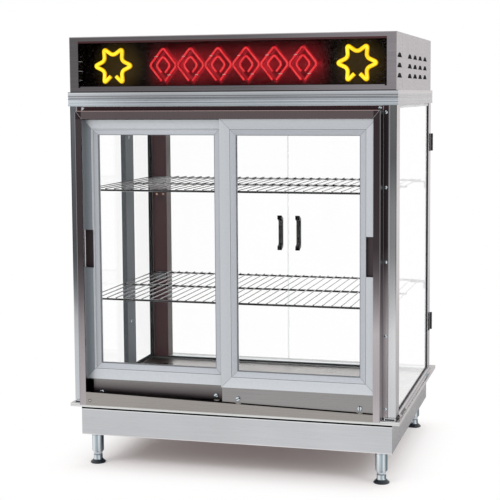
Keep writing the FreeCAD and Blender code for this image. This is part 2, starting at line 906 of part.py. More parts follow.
def diamond(x, shrink):
    """Open diamond loop of tube, its ends side by side at the foot."""
    c = neon_centre()
    w = diamond_half_width - shrink * diamond_half_width / diamond_half_height
    h = diamond_half_height - shrink
    gap = red_tube_radius + 1.5
    points = [vec(x - gap, c.y, c.z - h + gap), vec(x - w, c.y, c.z), vec(x, c.y, c.z + h),
              vec(x + w, c.y, c.z), vec(x + gap, c.y, c.z - h + gap)]
    return flat_tube(bent(points, bend_length), red_tube_radius, tube_sides, vec(0, 1, 0))


def diamond_places():
    return [(i - (diamond_count - 1) / 2) * diamond_pitch for i in range(diamond_count)]


def neon_red():
    """Row of diamonds, each with a smaller one inside."""
    tubes = []
    for x in diamond_places():
        tubes += [diamond(x, 0), diamond(x, diamond_line_gap * 1.3)]
    return tubes


def star_route(x):
    c = neon_centre()
    points = []
    for i in range(2 * star_points + 1):
        angle = math.pi * (i - 0.5 * star_points) / star_points
        r = star_outer if i % 2 else star_inner
        points.append(vec(x + r * math.cos(angle), c.y, c.z + r * math.sin(angle)))
    gap = yellow_tube_radius + 2
    points[0] = points[0] + vec(gap, 0, 0)
    points[-1] = points[-1] - vec(gap, 0, 0)
    return points


def neon_yellow():
    """A burst of rays at each end of the sign."""
    return [flat_tube(bent(star_route(side * star_offset), bend_length), yellow_tube_radius,
                      tube_sides, vec(0, 1, 0)) for side in (-1, 1)]


def neon_supports():
    """Glass stand-offs from the back panel to the tubes."""
    c = neon_centre()
    y1 = post_front + back_panel_setback
    places = []
    for x in diamond_places():
        places += [(x + s * diamond_half_width / 2, c.z + diamond_half_height / 2, red_tube_radius)
                   for s in (-1, 1)]
        inner = diamond_half_height - diamond_line_gap * 1.3
        places.append((x + inner * diamond_half_width / diamond_half_height / 2,
                       c.z + inner / 2, red_tube_radius))
    for side in (-1, 1):
        for i in range(1, 2 * star_points, 4):
            tip = star_route(side * star_offset)[i]
            inward = (vec(side * star_offset, c.y, c.z) - tip).normalize() * bend_length
            places.append((tip.x + inward.x, tip.z + inward.z, yellow_tube_radius))
    stands = []
    for x, z, radius in places:
        y0 = c.y + radius + seat_gap
        stands.append(turned([(support_radius, 0), (support_radius, y1 - y0)], support_sides,
                             vec(x, y0, z), vec(0, 1, 0)))
    return stands


def neon_transformer():
    y0 = post_front + sign_front_depth + transformer_from_seam
    y1 = y0 + transformer_depth
    half, ear = transformer_width / 2, transformer_ear
    case = box(-half, half, y0, y1, pan_top, pan_top + transformer_height)
    ears = box(-half - ear, half + ear, y0 + ear, y1 - ear, pan_top, pan_top + 2 * sheet)
    posts = [turned([(ear / 2, 0), (ear / 2, ear)], 6,
                    vec(x, y0 - ear, pan_top + transformer_height * 0.6), vec(0, 1, 0))
             for x in (-half / 2, half / 2)]
    return fuse([case, ears] + posts)


def cabinet_lamp():
    y0 = side_front + lamp_from_post
    y1 = y0 + lamp_width
    half = inner_half - lamp_end_gap
    under = post_top - lamp_hood_height
    hood = box(-half, half, y0, y1, under, post_top)
    caps = [box(s * half, s * (half - lamp_cap_length), y0 + lamp_width / 6, y1 - lamp_width / 6,
                under - lamp_cap_height, under) for s in (-1, 1)]
    reach = half - lamp_cap_length
    tube = turned([(lamp_tube_radius, -reach), (lamp_tube_radius, reach)], pin_sides,
                  vec(0, (y0 + y1) / 2, under - lamp_cap_height / 2), vec(1, 0, 0))
    return [fuse([hood] + caps), tube]


# Door unit

def door_surround():
    """Left, right and top members: front plate mitred at the corners, web and screw flange."""
    y0, y1, y2 = unit_front, unit_front + unit_wall, post_front
    reach = front_post_inner - flange_margin
    face = [(inner_half, unit_bottom), (half_unit, unit_bottom), (half_unit, unit_top),
            (inner_half, inner_top)]
    plate = prism_xz(face, y0, y1)
    web = box(half_unit - unit_wall, half_unit, y1, y2, unit_bottom, unit_top - unit_wall)
    flange = box(half_unit, reach, y2 - flange_thickness, y2, rail_top, unit_top)
    side = fuse([plate, web, flange])
    top_face = [(-inner_half, inner_top), (inner_half, inner_top), (half_unit, unit_top),
                (-half_unit, unit_top)]
    top_web = box(-half_unit, half_unit, y1, y2, unit_top - unit_wall, unit_top)
    top_flange = box(-reach, reach, y2 - flange_thickness, y2, unit_top,
                     post_top - flange_margin - 1)
    top = fuse([prism_xz(top_face, y0, y1), top_web, top_flange])
    return [side, mirrored(side), top]


def sill():
    """Front plate with the sloped top edge, floor of the unit and rear upstand."""
    y0, y1, y2 = unit_front, unit_front + unit_wall, post_front
    x = inner_half
    face = [(-x, unit_bottom), (x, unit_bottom), (x, sill_top_at(x)), (-x, sill_top_at(-x))]
    half = half_unit - unit_wall
    floor = box(-half, half, y1, y2, unit_bottom, unit_floor)
    rise = box(-half, half, y2 - flange_thickness, y2, unit_floor, unit_floor + sill_upstand)
    return fuse([prism_xz(face, y0, y1), floor, rise])


def lower_track(side):
    """Folded rail with a sloped running surface and a rib for the grooved rollers."""
    front = right_door_front if side > 0 else left_door_front
    rib_y = roller_mid(front)
    y0 = front - 2
    y1 = y0 + track_width
    half = half_unit - unit_wall - seat_gap
    top = [(-half, track_top_at(-half, side)), (half, track_top_at(half, side))]
    outer = [(-half, unit_floor), (half, unit_floor)] + [top[1], top[0]]
    inner = [(-half, unit_floor), (half, unit_floor), (half, top[1][1] - sheet),
             (-half, top[0][1] - sheet)]
    rail = prism_xz(outer, y0, y1).cut(prism_xz(inner, y0 + sheet, y1 - sheet))
    rib = [top[0], top[1], (half, top[1][1] + rib_height), (-half, top[0][1] + rib_height)]
    return fuse([rail, prism_xz(rib, rib_y - rib_width / 2, rib_y + rib_width / 2)])


def upper_track():
    """Guide with two fins that keeps the doors upright while they ride up the slope."""
    half = half_unit - unit_wall - seat_gap
    z1 = unit_top - unit_wall
    plate = box(-half, half, unit_front + unit_wall, post_front - flange_thickness,
                z1 - fin_thickness, z1)
    fins = []
    gap = (door_spacing - door_thickness - fin_thickness) / 2
    for front in (right_door_front, left_door_front):
        y0 = front + door_thickness + gap
        y1 = min(y0 + fin_thickness, post_front - flange_thickness)
        fins.append(box(-half, half, y0, y1, z1 - fin_thickness - fin_height, z1 - fin_thickness))
    return fuse([plate] + fins)


def screw(x, y, z, radius, height):
    """Domed screw head that faces the front, its back on the plane y."""
    profile = [(radius, 0), (radius * 0.85, height * 0.6), (radius * 0.4, height)]
    return turned(profile, screw_sides, vec(x, y, z), vec(0, -1, 0))


def surround_screws():
    y = post_front - flange_thickness
    heads = []
    x = (half_unit + front_post_inner) / 2
    low = rail_top + 22
    step = (unit_top - 6 - low) / 4
    for i in range(5):
        for s in (-1, 1):
            heads.append(screw(s * x, y, low + i * step, 3.4, 2.2))
    for x in (-half_unit + 4, half_unit - 9):
        heads.append(screw(x, y, (unit_top + post_top) / 2 - 1, 3.4, 2.2))
    return heads


def door_bumpers():
    """Rubber stops between the closed doors and the jambs."""
    pads = []
    for side, front in ((1, right_door_front), (-1, left_door_front)):
        for z in (door_bottom + bumper_from_end, door_top - bumper_from_end):
            pads.append(box(side * (door_reach + seat_gap * 2), side * (half_unit - unit_wall),
                            front + 4, front + 12, z, z + 18))
    return pads


# Sliding doors

def stile_profile():
    """Section of a door member: u from the outer edge, v from the front face."""
    w, t, f = stile_width, door_thickness, stile_flat
    g0 = door_glass_depth - glass_slot_clearance
    g1 = door_glass_depth + door_glass_thickness + glass_slot_clearance
    slot = w - door_glass_bite - glass_slot_clearance
    return [(0, 0), (f, 0), (f + 0.8, 1.2), (f + 1.6, 0.3), (f + 3.2, 0), (f + 4.8, 0.5),
            (f + 6, 1.5), (w, 4.5), (w, g0), (slot, g0), (slot, g1), (w, g1), (w, t), (0, t)]


def door_frame(x0, x1, front, notch_side):
    corners = [(x0, door_bottom, 1, 1), (x1, door_bottom, -1, 1), (x1, door_top, -1, -1),
               (x0, door_top, 1, -1)]
    rings = [[vec(x + u * sx, front + v, z + u * sz) for u, v in stile_profile()]
             for x, z, sx, sz in corners]
    members = [solid_between(rings[i], rings[(i + 1) % 4]) for i in range(4)]
    edge = x1 if notch_side > 0 else x0
    notch = box(edge - notch_side * stile_flat, edge + notch_side * 2, front - 1,
                front + pull_depth, door_bottom + pull_bottom,
                door_bottom + pull_bottom + pull_height)
    return [member.cut(notch) for member in members]


def door_glass(x0, x1, front):
    inset = stile_width - door_glass_bite
    y0 = front + door_glass_depth
    return box(x0 + inset, x1 - inset, y0, y0 + door_glass_thickness, door_bottom + inset,
               door_top - inset)


def roller_mid(front):
    """Middle of the rollers, behind the skirt plate."""
    return front + skirt_setback + skirt_thickness + 0.5 + roller_width / 2


def roller_places(side):
    centre = side * (door_reach - door_width / 2)
    places = []
    for s in (-1, 1):
        x = centre + s * roller_spacing / 2
        z = track_top_at(x, side) + rib_height + rib_gap + roller_root_radius
        places.append((x, z))
    return places


def door_skirt(x0, x1, front, side):
    """Angle under the door that carries the rollers; its lower edge follows the slope."""
    if side > 0:
        a, b = x0 + 2, x1 - 8
    else:
        a, b = x0 + skirt_end_inset, x1 - 2
    drop = roller_above_sill - skirt_edge_gap
    (xa, za), (xb, zb) = roller_places(side)

    def edge(x):
        return za + (zb - za) * (x - xa) / (xb - xa) - drop

    y0 = front + skirt_setback
    y1 = y0 + skirt_thickness
    plate = prism_xz([(a, edge(a)), (b, edge(b)), (b, door_bottom), (a, door_bottom)], y0, y1)
    shelf = box(a, b, y1, front + door_thickness - 1, door_bottom - skirt_thickness, door_bottom)
    return fuse([plate, shelf])


def roller_screw(x, z, front):
    """Shoulder screw: domed head in front of the skirt, axle, and the nut behind the roller."""
    y0 = front + skirt_setback
    y1 = roller_mid(front) + roller_width / 2 + 0.3
    head = screw(x, y0, z, 4.6, 2.6)
    shank = pin(vec(x, y0 - 0.5, z), vec(x, y1 + 1, z), axle_radius)
    nut = turned([(5.5, 0), (5.5, 2.4)], 6, vec(x, y1, z), vec(0, 1, 0))
    return fuse([head, shank, nut])


def roller(x, z, front):
    """Grooved roller that straddles the rib of its track."""
    half_width = roller_width / 2
    groove = rib_width / 2 + 0.6
    profile = [(roller_flange_radius - 0.5, -half_width), (roller_flange_radius, -groove),
               (roller_root_radius, -groove), (roller_root_radius, groove),
               (roller_flange_radius, groove), (roller_flange_radius - 0.5, half_width)]
    wheel = turned(profile, roller_sides, vec(x, roller_mid(front), z), vec(0, 1, 0))
    y0 = roller_mid(front) - half_width
    return wheel.cut(rod(vec(x, y0, z), vec(x, y0 + roller_width, z),
                         axle_radius + axle_clearance))


def sliding_door(name, side):
    x0, x1 = sorted((-side * door_overlap / 2, side * door_reach))
    front = right_door_front if side > 0 else left_door_front
    save(name + "_door_frame", door_frame(x0, x1, front, side))
    save(name + "_door_glass", [door_glass(x0, x1, front)])
    skirt = door_skirt(x0, x1, front, side)
    screws = []
    for x, z in roller_places(side):
        hole = pin(vec(x, front, z), vec(x, front + 8, z), axle_radius)
        skirt = skirt.cut(hole)
        screws.append(roller_screw(x, z, front))
    save(name + "_door_skirt", [skirt] + screws)
    ends = ("inner", "outer") if side > 0 else ("outer", "inner")
    for end, (x, z) in zip(ends, roller_places(side)):
        save(name + "_door_roller_" + end, [roller(x, z, front)])


# Rear doors

def hinge_axis():
    return (half_cabinet + hinge_block / 2 + 0.5,
            post_rear + rear_door_clear + rear_panel_thickness / 2)


def hinge_section(grow):
    """Outline of a hinge block seen from above, its outer corners cut off."""
    x, y = hinge_axis()
    r, c = hinge_block / 2 + grow, hinge_chamfer
    return [(x - r, y - r), (x + r - c, y - r), (x + r, y - r + c), (x + r, y + r - c),
            (x + r - c, y + r), (x - r, y + r)]


def rear_panel():
    y0 = post_rear + rear_door_clear
    panel = box(rear_door_gap / 2, half_cabinet - rear_door_edge, y0, y0 + rear_panel_thickness,
                rail_top + 2, post_top - 3)
    return panel


def post_hinge(z):
    """Leaf on the side of the post with the two outer blocks and the pin between them."""
    x, y = hinge_axis()
    h = hinge_height / 2
    inner = hinge_height * 0.22
    leaf = box(half_cabinet, half_cabinet + leaf_thickness, y - 30, y - 1, z - h, z + h)
    window = box(half_cabinet - 1, half_cabinet + leaf_thickness + 1, y - hinge_block - 1, y,
                 z - inner, z + inner)
    blocks = [prism_xy(hinge_section(0), z + a, z + b) for a, b in ((-h, -inner), (inner, h))]
    pivot = pin(vec(x, y, z - inner - 1), vec(x, y, z + inner + 1), hinge_pin_radius)
    return fuse([leaf.cut(window)] + blocks + [pivot])


def door_hinge(z):
    """Middle block and the clamp plate on the panel's back face."""
    x, y = hinge_axis()
    h = hinge_height * 0.21
    y1 = post_rear + rear_door_clear + rear_panel_thickness
    block = prism_xy(hinge_section(0), z - h, z + h)
    plate = box(x - hinge_clamp, x + hinge_block / 2 - hinge_chamfer, y1, y1 + leaf_thickness,
                z - h, z + h)
    return fuse([block, plate]).cut(rod(vec(x, y, z - h), vec(x, y, z + h),
                                        hinge_pin_radius + hinge_pin_clearance))


def rear_handle():
    """Bow handle on the free edge of the panel."""
    y1 = post_rear + rear_door_clear + rear_panel_thickness
    z0 = handle_height_at - handle_length / 2
    z1 = handle_height_at + handle_length / 2
    bow, wall = handle_reach, handle_wall
    x0, x1 = handle_from_edge, handle_from_edge + handle_grip
    outer = [(y1, z0), (y1 + bow, z0 + wall * 1.5), (y1 + bow, z1 - wall * 1.5), (y1, z1)]
    inner = [(y1 - 1, z0 + wall * 1.7), (y1 + bow - wall, z0 + wall * 2.6),
             (y1 + bow - wall, z1 - wall * 2.6), (y1 - 1, z1 - wall * 1.7)]
    return prism_yz(outer, x0, x1).cut(prism_yz(inner, x0 - 1, x1 + 1))


def rear_doors():
    panel = rear_panel()
    fittings = [door_hinge(z) for z in hinge_heights] + [rear_handle()]
    save("rear_right_door", [panel])
    save("rear_left_door", [mirrored(panel)])
    save("rear_right_fittings", fittings)
    save("rear_left_fittings", [mirrored(f) for f in fittings])
    fixed = [post_hinge(z) for z in hinge_heights]
    save("rear_post_hinges", fixed + [mirrored(f) for f in fixed])


# Shelves

def shelf_ends():
    return side_front + shelf_front_gap, side_rear - shelf_rear_gap


def wire_shelf(z):
    """Wires from front to back that lie on heavier cross wires."""
    y0, y1 = shelf_ends()
    half = half_shelf
    rows = [y0 + frame_wire_radius, (y0 + y1) / 2, y1 - frame_wire_radius]
    up = vec(0, 0, 1)
    wires = []
    for y in rows:
        wires.append(flat_tube([vec(-half, y, z), vec(half, y, z)], frame_wire_radius,
                               frame_wire_sides, up))
    count = int(2 * half / wire_pitch)
    top = z + frame_wire_radius + wire_radius
    for i in range(count + 1):
        x = (i - count / 2) * wire_pitch
        wires.append(flat_tube([vec(x, y0, top), vec(x, y1, top)], wire_radius, wire_sides, up))
    return wires


def shelf_bracket_front(z):
    y0 = shelf_ends()[0]
    x = front_post_inner
    plate = box(x - bracket_thickness, x, side_front - 30, y0 + bracket_tab,
                z - bracket_drop, z)
    tab = box(half_shelf - 12, x, y0 - 2, y0 + bracket_tab, z - bracket_thickness, z)
    return fuse([plate, tab])


def shelf_bracket_rear(z, x, side):
    """Rear tab on the right-hand post or on the front of the riser."""
    y1 = shelf_ends()[1]
    tab = box(half_shelf - 28, x, y1 - bracket_tab, side_rear + 20, z - bracket_thickness, z)
    plate = box(x - bracket_thickness, x, y1 - bracket_tab, side_rear + 20, z - bracket_drop, z)
    shape = fuse([tab, plate])
    return shape if side > 0 else mirrored(shape)


def riser_bracket(z):
    y1 = riser_front
    x0, x1 = -half_cabinet + rear_post_width + 6, -half_cabinet + rear_post_width + riser_width - 6
    plate = box(x0, x1, y1 - bracket_thickness, y1, z - bracket_drop, z)
    tab = box(x0, x1, y1 - bracket_tab, y1, z - bracket_thickness, z)
    return fuse([plate, tab])


def shelf_brackets():
    brackets = []
    for height in (upper_shelf_height, middle_shelf_height):
        z = height - frame_wire_radius
        front = shelf_bracket_front(z)
        brackets += [front, mirrored(front), shelf_bracket_rear(z, rear_post_inner, 1)]
        brackets.append(riser_bracket(z))
    return brackets


def wire_raceway():
    """Cover on the left glass for the wires of the lamp."""
    x = -(gasket_outer - gasket_width)
    y0 = post_front + raceway_from_front
    return box(x, x + raceway_depth, y0, y0 + raceway_width, rail_top, post_top)


def wire_riser():
    x0 = -rear_post_inner
    x1 = x0 + riser_width
    y0 = riser_front
    y1 = y0 + riser_depth
    tube = box(x0, x1, y0, y1, rail_top, post_top)
    bore = box(x0 + sheet, x1 - sheet, y0 + sheet, y1 - sheet, rail_top, post_top)
    return tube.cut(bore)


# Values shared by the control panel, the blower and the riser
panel_border = 8.0
panel_mid = (base_bottom + deck_bottom) / 2
panel_low = panel_mid - panel_height / 2
panel_high = panel_mid + panel_height / 2
rocker_pivot_y = base_rear - 2.0
gland_radius = 9.0
blower_low = base_bottom + 2 * sheet + 10
outlet_half_width = 34.0
motor_height = blower_height - 26.0
shaft_length = 12.0
heater_level = deck_under - heater_depth_below
riser_front = post_rear - riser_depth - 2

os.makedirs("parts", exist_ok=True)

save("base_skirt", [base_skirt()])
save("base_bottom_cover", [base_bottom_cover()])
save("deck", [deck()])
save("plenum_box", [plenum_box()])
save("perforated_floor", [perforated_floor()])
save("heater_element", [heater_element()])
save("blower_unit", blower_unit())
save("blower_wheel", [blower_wheel()])
save("control_panel", [control_panel()])
save("control_bodies", control_bodies())
save("light_rocker", [rocker(rocker_places()[0])])
save("heat_rocker", [rocker(rocker_places()[1])])
save("thermostat_knob", [thermostat_knob()])
save("cord_gland", [cord_gland()])
save("leg_tubes", [leg_tube(x, y) for x, y in leg_places()])
for foot_name, (foot_x, foot_y) in zip(("front_left", "front_right", "rear_left", "rear_right"),
                                       leg_places()):
    save(foot_name + "_foot", [foot(foot_x, foot_y)])
save("front_posts", [front_post(), mirrored(front_post())])
save("rear_posts", [rear_post(), mirrored(rear_post())])
save("bottom_rails", bottom_rails())
save("side_glass", [side_glass(), mirrored(side_glass())])
save("glazing_gaskets", [glazing_gasket(), mirrored(glazing_gasket())])
save("ceiling_pan", [ceiling_pan()])
save("header_trim", header_trim())
save("sign_front_housing", [sign_front_housing()])
save("sign_rear_housing", [sign_rear_housing()])
save("sign_window", [sign_window()])
save("sign_back_panel", [sign_back_panel()])
save("neon_red", neon_red())
save("neon_yellow", neon_yellow())
save("neon_supports", neon_supports())
save("neon_transformer", [neon_transformer()])
save("cabinet_lamp", cabinet_lamp())
save("door_surround", door_surround())
save("sill", [sill()])
save("door_tracks", [lower_track(1), lower_track(-1), upper_track()])
save("surround_screws", surround_screws())
save("door_bumpers", door_bumpers())
sliding_door("right", 1)
sliding_door("left", -1)
rear_doors()
save("upper_shelf", wire_shelf(upper_shelf_height))
save("middle_shelf", wire_shelf(middle_shelf_height))
save("shelf_brackets", shelf_brackets())
save("wire_raceway", [wire_raceway()])
save("wire_riser", [wire_riser()])
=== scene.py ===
import json
import math

import bpy
from mathutils import Euler, Matrix, Vector


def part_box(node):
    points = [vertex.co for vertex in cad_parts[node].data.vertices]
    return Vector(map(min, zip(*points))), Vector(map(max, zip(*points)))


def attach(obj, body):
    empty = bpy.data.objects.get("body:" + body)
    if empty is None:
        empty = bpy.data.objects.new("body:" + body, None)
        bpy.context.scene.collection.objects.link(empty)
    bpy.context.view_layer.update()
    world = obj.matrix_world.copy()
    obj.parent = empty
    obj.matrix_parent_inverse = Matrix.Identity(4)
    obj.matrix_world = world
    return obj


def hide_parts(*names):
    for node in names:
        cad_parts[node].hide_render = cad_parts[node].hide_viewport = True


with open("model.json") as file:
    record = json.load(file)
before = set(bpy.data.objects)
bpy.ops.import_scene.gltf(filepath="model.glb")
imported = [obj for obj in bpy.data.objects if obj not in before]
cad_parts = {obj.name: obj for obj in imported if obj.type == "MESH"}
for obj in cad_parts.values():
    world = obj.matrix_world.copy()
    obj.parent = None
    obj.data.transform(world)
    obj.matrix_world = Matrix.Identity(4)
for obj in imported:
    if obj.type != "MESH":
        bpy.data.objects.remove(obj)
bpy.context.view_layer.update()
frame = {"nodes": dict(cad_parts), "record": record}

# Metres, +Z up, the front with the sliding doors towards -Y.

scene = bpy.context.scene
cadNode = frame["nodes"]


def paint(red, green, blue):
    # a screen colour, 0 to 255, as the linear values that shaders take
    linear = [((c / 255 + 0.055) / 1.055) ** 2.4 if c > 10 else c / 3295 for c in (red, green, blue)]
    return (*linear, 1.0)


def grey(level):
    return (level, level, level, 1.0)


# Node helpers for the finishes

def startFinish(name, roughness, metallic=0.0):
    material = bpy.data.materials.new(name)
    material.use_nodes = True
    tree = material.node_tree
    shader = tree.nodes["Principled BSDF"]
    shader.inputs["Roughness"].default_value = roughness
    shader.inputs["Metallic"].default_value = metallic
    return material, tree, shader


def fill(tree, socket, value):
    if isinstance(value, bpy.types.NodeSocket):
        tree.links.new(value, socket)
    else:
        socket.default_value = value


def noiseAt(tree, scale, detail=2.0):
    place = tree.nodes.new("ShaderNodeTexCoord")
    mapping = tree.nodes.new("ShaderNodeMapping")
    noise = tree.nodes.new("ShaderNodeTexNoise")
    mapping.inputs["Scale"].default_value = scale
    noise.inputs["Scale"].default_value = 1.0
    noise.inputs["Detail"].default_value = detail
    tree.links.new(place.outputs["Object"], mapping.inputs["Vector"])
    tree.links.new(mapping.outputs["Vector"], noise.inputs["Vector"])
    return noise.outputs["Fac"]


def axisOf(tree, source, axis):
    place = tree.nodes.new("ShaderNodeTexCoord")
    split = tree.nodes.new("ShaderNodeSeparateXYZ")
    tree.links.new(place.outputs[source], split.inputs["Vector"])
    return split.outputs[axis]


def maths(tree, operation, first, second=0.0):
    node = tree.nodes.new("ShaderNodeMath")
    node.operation = operation
    fill(tree, node.inputs[0], first)
    fill(tree, node.inputs[1], second)
    return node.outputs[0]


def between(tree, value, low, high, outLow=0.0, outHigh=1.0, smooth=False):
    node = tree.nodes.new("ShaderNodeMapRange")
    node.interpolation_type = "SMOOTHSTEP" if smooth else "LINEAR"
    fill(tree, node.inputs["Value"], value)
    node.inputs["From Min"].default_value = low
    node.inputs["From Max"].default_value = high
    node.inputs["To Min"].default_value = outLow
    node.inputs["To Max"].default_value = outHigh
    return node.outputs["Result"]


def rampOf(tree, factor, stops):
    node = tree.nodes.new("ShaderNodeValToRGB")
    marks = node.color_ramp.elements
    marks[0].position, marks[0].color = stops[0]
    marks[1].position, marks[1].color = stops[-1]
    for position, colour in stops[1:-1]:
        marks.new(position).color = colour
    tree.links.new(factor, node.inputs["Fac"])
    return node.outputs["Color"]


def mixed(tree, factor, first, second, blend="MIX"):
    node = tree.nodes.new("ShaderNodeMix")
    node.data_type = "RGBA"
    node.blend_type = blend
    fill(tree, node.inputs[0], factor)
    fill(tree, node.inputs[6], first)
    fill(tree, node.inputs[7], second)
    return node.outputs[2]


def byHeight(tree, stops):
    # colours at heights in metres
    low, high = stops[0][0], stops[-1][0]
    share = between(tree, axisOf(tree, "Object", 2), low, high)
    return rampOf(tree, share, [((z - low) / (high - low), colour) for z, colour in stops])


def within(tree, limits):
    # 1 inside all the given limits of place (x, y, z), distance from the middle (absX) or facing (nx, ny, nz)
    share = None
    for key, (low, high) in limits.items():
        source = "Normal" if key[0] == "n" else "Object"
        value = axisOf(tree, source, "xyz".index(key[-1].lower()))
        if key.startswith("abs"):
            value = maths(tree, "ABSOLUTE", value)
        for operation, edge in (("GREATER_THAN", low), ("LESS_THAN", high)):
            test = maths(tree, operation, value, edge)
            share = test if share is None else maths(tree, "MULTIPLY", share, test)
    return share


def byFace(tree, look):
    # the front colour, with others on faces that look sideways or up and down, and in narrow zones
    def asColour(value):
        return byHeight(tree, value) if isinstance(value, list) else value

    colour = asColour(look["front"])
    # faces turned sideways or up take the side and top colours: painted light and shade by facing
    for key, axis, low in (("side", 0, 0.6), ("top", 2, 0.6)):
        if key in look:
            turned = maths(tree, "ABSOLUTE", axisOf(tree, "Normal", axis))
            colour = mixed(tree, between(tree, turned, low, low + 0.25), colour, asColour(look[key]))
    # a tone across X: painted reflection, lighter or darker from side to side
    if "along" in look:
        tone = rampOf(tree, between(tree, axisOf(tree, "Object", 0), -0.45, 0.45), look["along"])
        colour = mixed(tree, 1.0, colour, tone, "MULTIPLY")
    for limits, zoneColour in look.get("zones", []):
        colour = mixed(tree, within(tree, limits), colour, asColour(zoneColour))
    for joint in look.get("joints", []):
        colour = mixed(tree, jointLine(tree, joint), colour, joint["colour"])
    for dot in look.get("dots", []):
        colour = mixed(tree, dotOn(tree, dot), colour, dot["colour"])
    # stripes by the facing round a tube, between the given heights: painted chrome reflections
    if "round" in look:
        turn = rampOf(tree, between(tree, axisOf(tree, "Normal", 0), -1, 1), look["round"])
        sides = maths(tree, "LESS_THAN", maths(tree, "ABSOLUTE", axisOf(tree, "Normal", 2)), 0.8)
        sides = maths(tree, "MULTIPLY", sides, within(tree, dict(z=look["roundZ"])))
        colour = mixed(tree, sides, colour, turn)
    return colour


def dotOn(tree, dot):
    # 1 inside a round dot, or a ring, that faces along Y
    x = maths(tree, "SUBTRACT", axisOf(tree, "Object", 0), dot["x"])
    z = maths(tree, "SUBTRACT", axisOf(tree, "Object", 2), dot["z"])
    away = maths(tree, "SQRT", maths(tree, "ADD", maths(tree, "MULTIPLY", x, x), maths(tree, "MULTIPLY", z, z)))
    share = maths(tree, "LESS_THAN", away, dot["outer"])
    if "inner" in dot:
        share = maths(tree, "MULTIPLY", share, maths(tree, "GREATER_THAN", away, dot["inner"]))
    if "ticks" in dot:
        # short strokes round a knob, left open at the bottom
        turned = maths(tree, "ARCTAN2", x, z)
        fold = maths(tree, "PINGPONG", maths(tree, "ADD", turned, 2 * math.pi), dot["ticks"] / 2)
        share = maths(tree, "MULTIPLY", share, maths(tree, "LESS_THAN", maths(tree, "MULTIPLY", fold, away), dot["half"]))
        share = maths(tree, "MULTIPLY", share, maths(tree, "LESS_THAN", maths(tree, "ABSOLUTE", turned), dot["sweep"]))
    return maths(tree, "MULTIPLY", share, within(tree, dot["limits"]))


def addBump(tree, shader, height, strength, distance):
    bump = tree.nodes.new("ShaderNodeBump")
    bump.inputs["Strength"].default_value = strength
    bump.inputs["Distance"].default_value = distance
    tree.links.new(height, bump.inputs["Height"])
    tree.links.new(bump.outputs["Normal"], shader.inputs["Normal"])


def jointLine(tree, joint):
    # 1 on a thin slanting line across a corner: through (x, z), rising slope for each step outwards
    x = maths(tree, "ABSOLUTE", axisOf(tree, "Object", 0))
    rise = maths(tree, "MULTIPLY", maths(tree, "SUBTRACT", x, joint["x"]), joint["slope"])
    off = maths(tree, "ABSOLUTE", maths(tree, "SUBTRACT", maths(tree, "SUBTRACT", axisOf(tree, "Object", 2),
                                                                  joint["z"] + joint.get("shift", 0)), rise))
    return maths(tree, "MULTIPLY", maths(tree, "LESS_THAN", off, joint["width"]), within(tree, joint["limits"]))


def metalFinish(name, look):
    material, tree, shader = startFinish(name, look["roughness"], look.get("metallic", 1.0))
    # inside the hollow the metal is turned off and made fully rough, so the dark colour painted there stands as shade
    if "hollow" in look:
        tree.links.new(maths(tree, "SUBTRACT", 1.0, within(tree, look["hollow"])), shader.inputs["Metallic"])
    grain = noiseAt(tree, look["grain"], 4.0)
    cloud = noiseAt(tree, look.get("cloud", (4, 4, 4)), 2.0)
    depth = look.get("contrast", 0.12)
    colour = byFace(tree, look)
    colour = mixed(tree, 1.0, colour, rampOf(tree, grain, [(0.3, grey(1 - depth)), (0.7, grey(1))]), "MULTIPLY")
    colour = mixed(tree, 1.0, colour, rampOf(tree, cloud, [(0.3, grey(0.9)), (0.7, grey(1))]), "MULTIPLY")
    tree.links.new(colour, shader.inputs["Base Color"])
    spread = look["roughness"] * 0.25
    rough = between(tree, grain, 0.3, 0.7, look["roughness"] - spread, look["roughness"] + spread)
    if "hollow" in look:
        rough = maths(tree, "MAXIMUM", rough, within(tree, look["hollow"]))
    tree.links.new(rough, shader.inputs["Roughness"])
    addBump(tree, shader, grain, look.get("bump", 0.12), 0.0003)
    return material


def paintFinish(name, look):
    # painted, moulded and rubber surfaces: a fine pebbled skin with slow changes of tone
    material, tree, shader = startFinish(name, look["roughness"])
    if "metalAbove" in look:
        tree.links.new(maths(tree, "GREATER_THAN", axisOf(tree, "Object", 2), look["metalAbove"]),
                       shader.inputs["Metallic"])
    skin = noiseAt(tree, (look.get("pebble", 900),) * 3, 3.0)
    cloud = noiseAt(tree, (7, 7, 7), 3.0)
    colour = mixed(tree, 1.0, byFace(tree, look), rampOf(tree, cloud, [(0.3, grey(0.8)), (0.7, grey(1))]), "MULTIPLY")
    tree.links.new(colour, shader.inputs["Base Color"])
    tree.links.new(between(tree, cloud, 0.3, 0.7, look["roughness"] - 0.06, look["roughness"] + 0.06),
                   shader.inputs["Roughness"])
    addBump(tree, shader, skin, look.get("bump", 0.15), 0.0002)
    return material


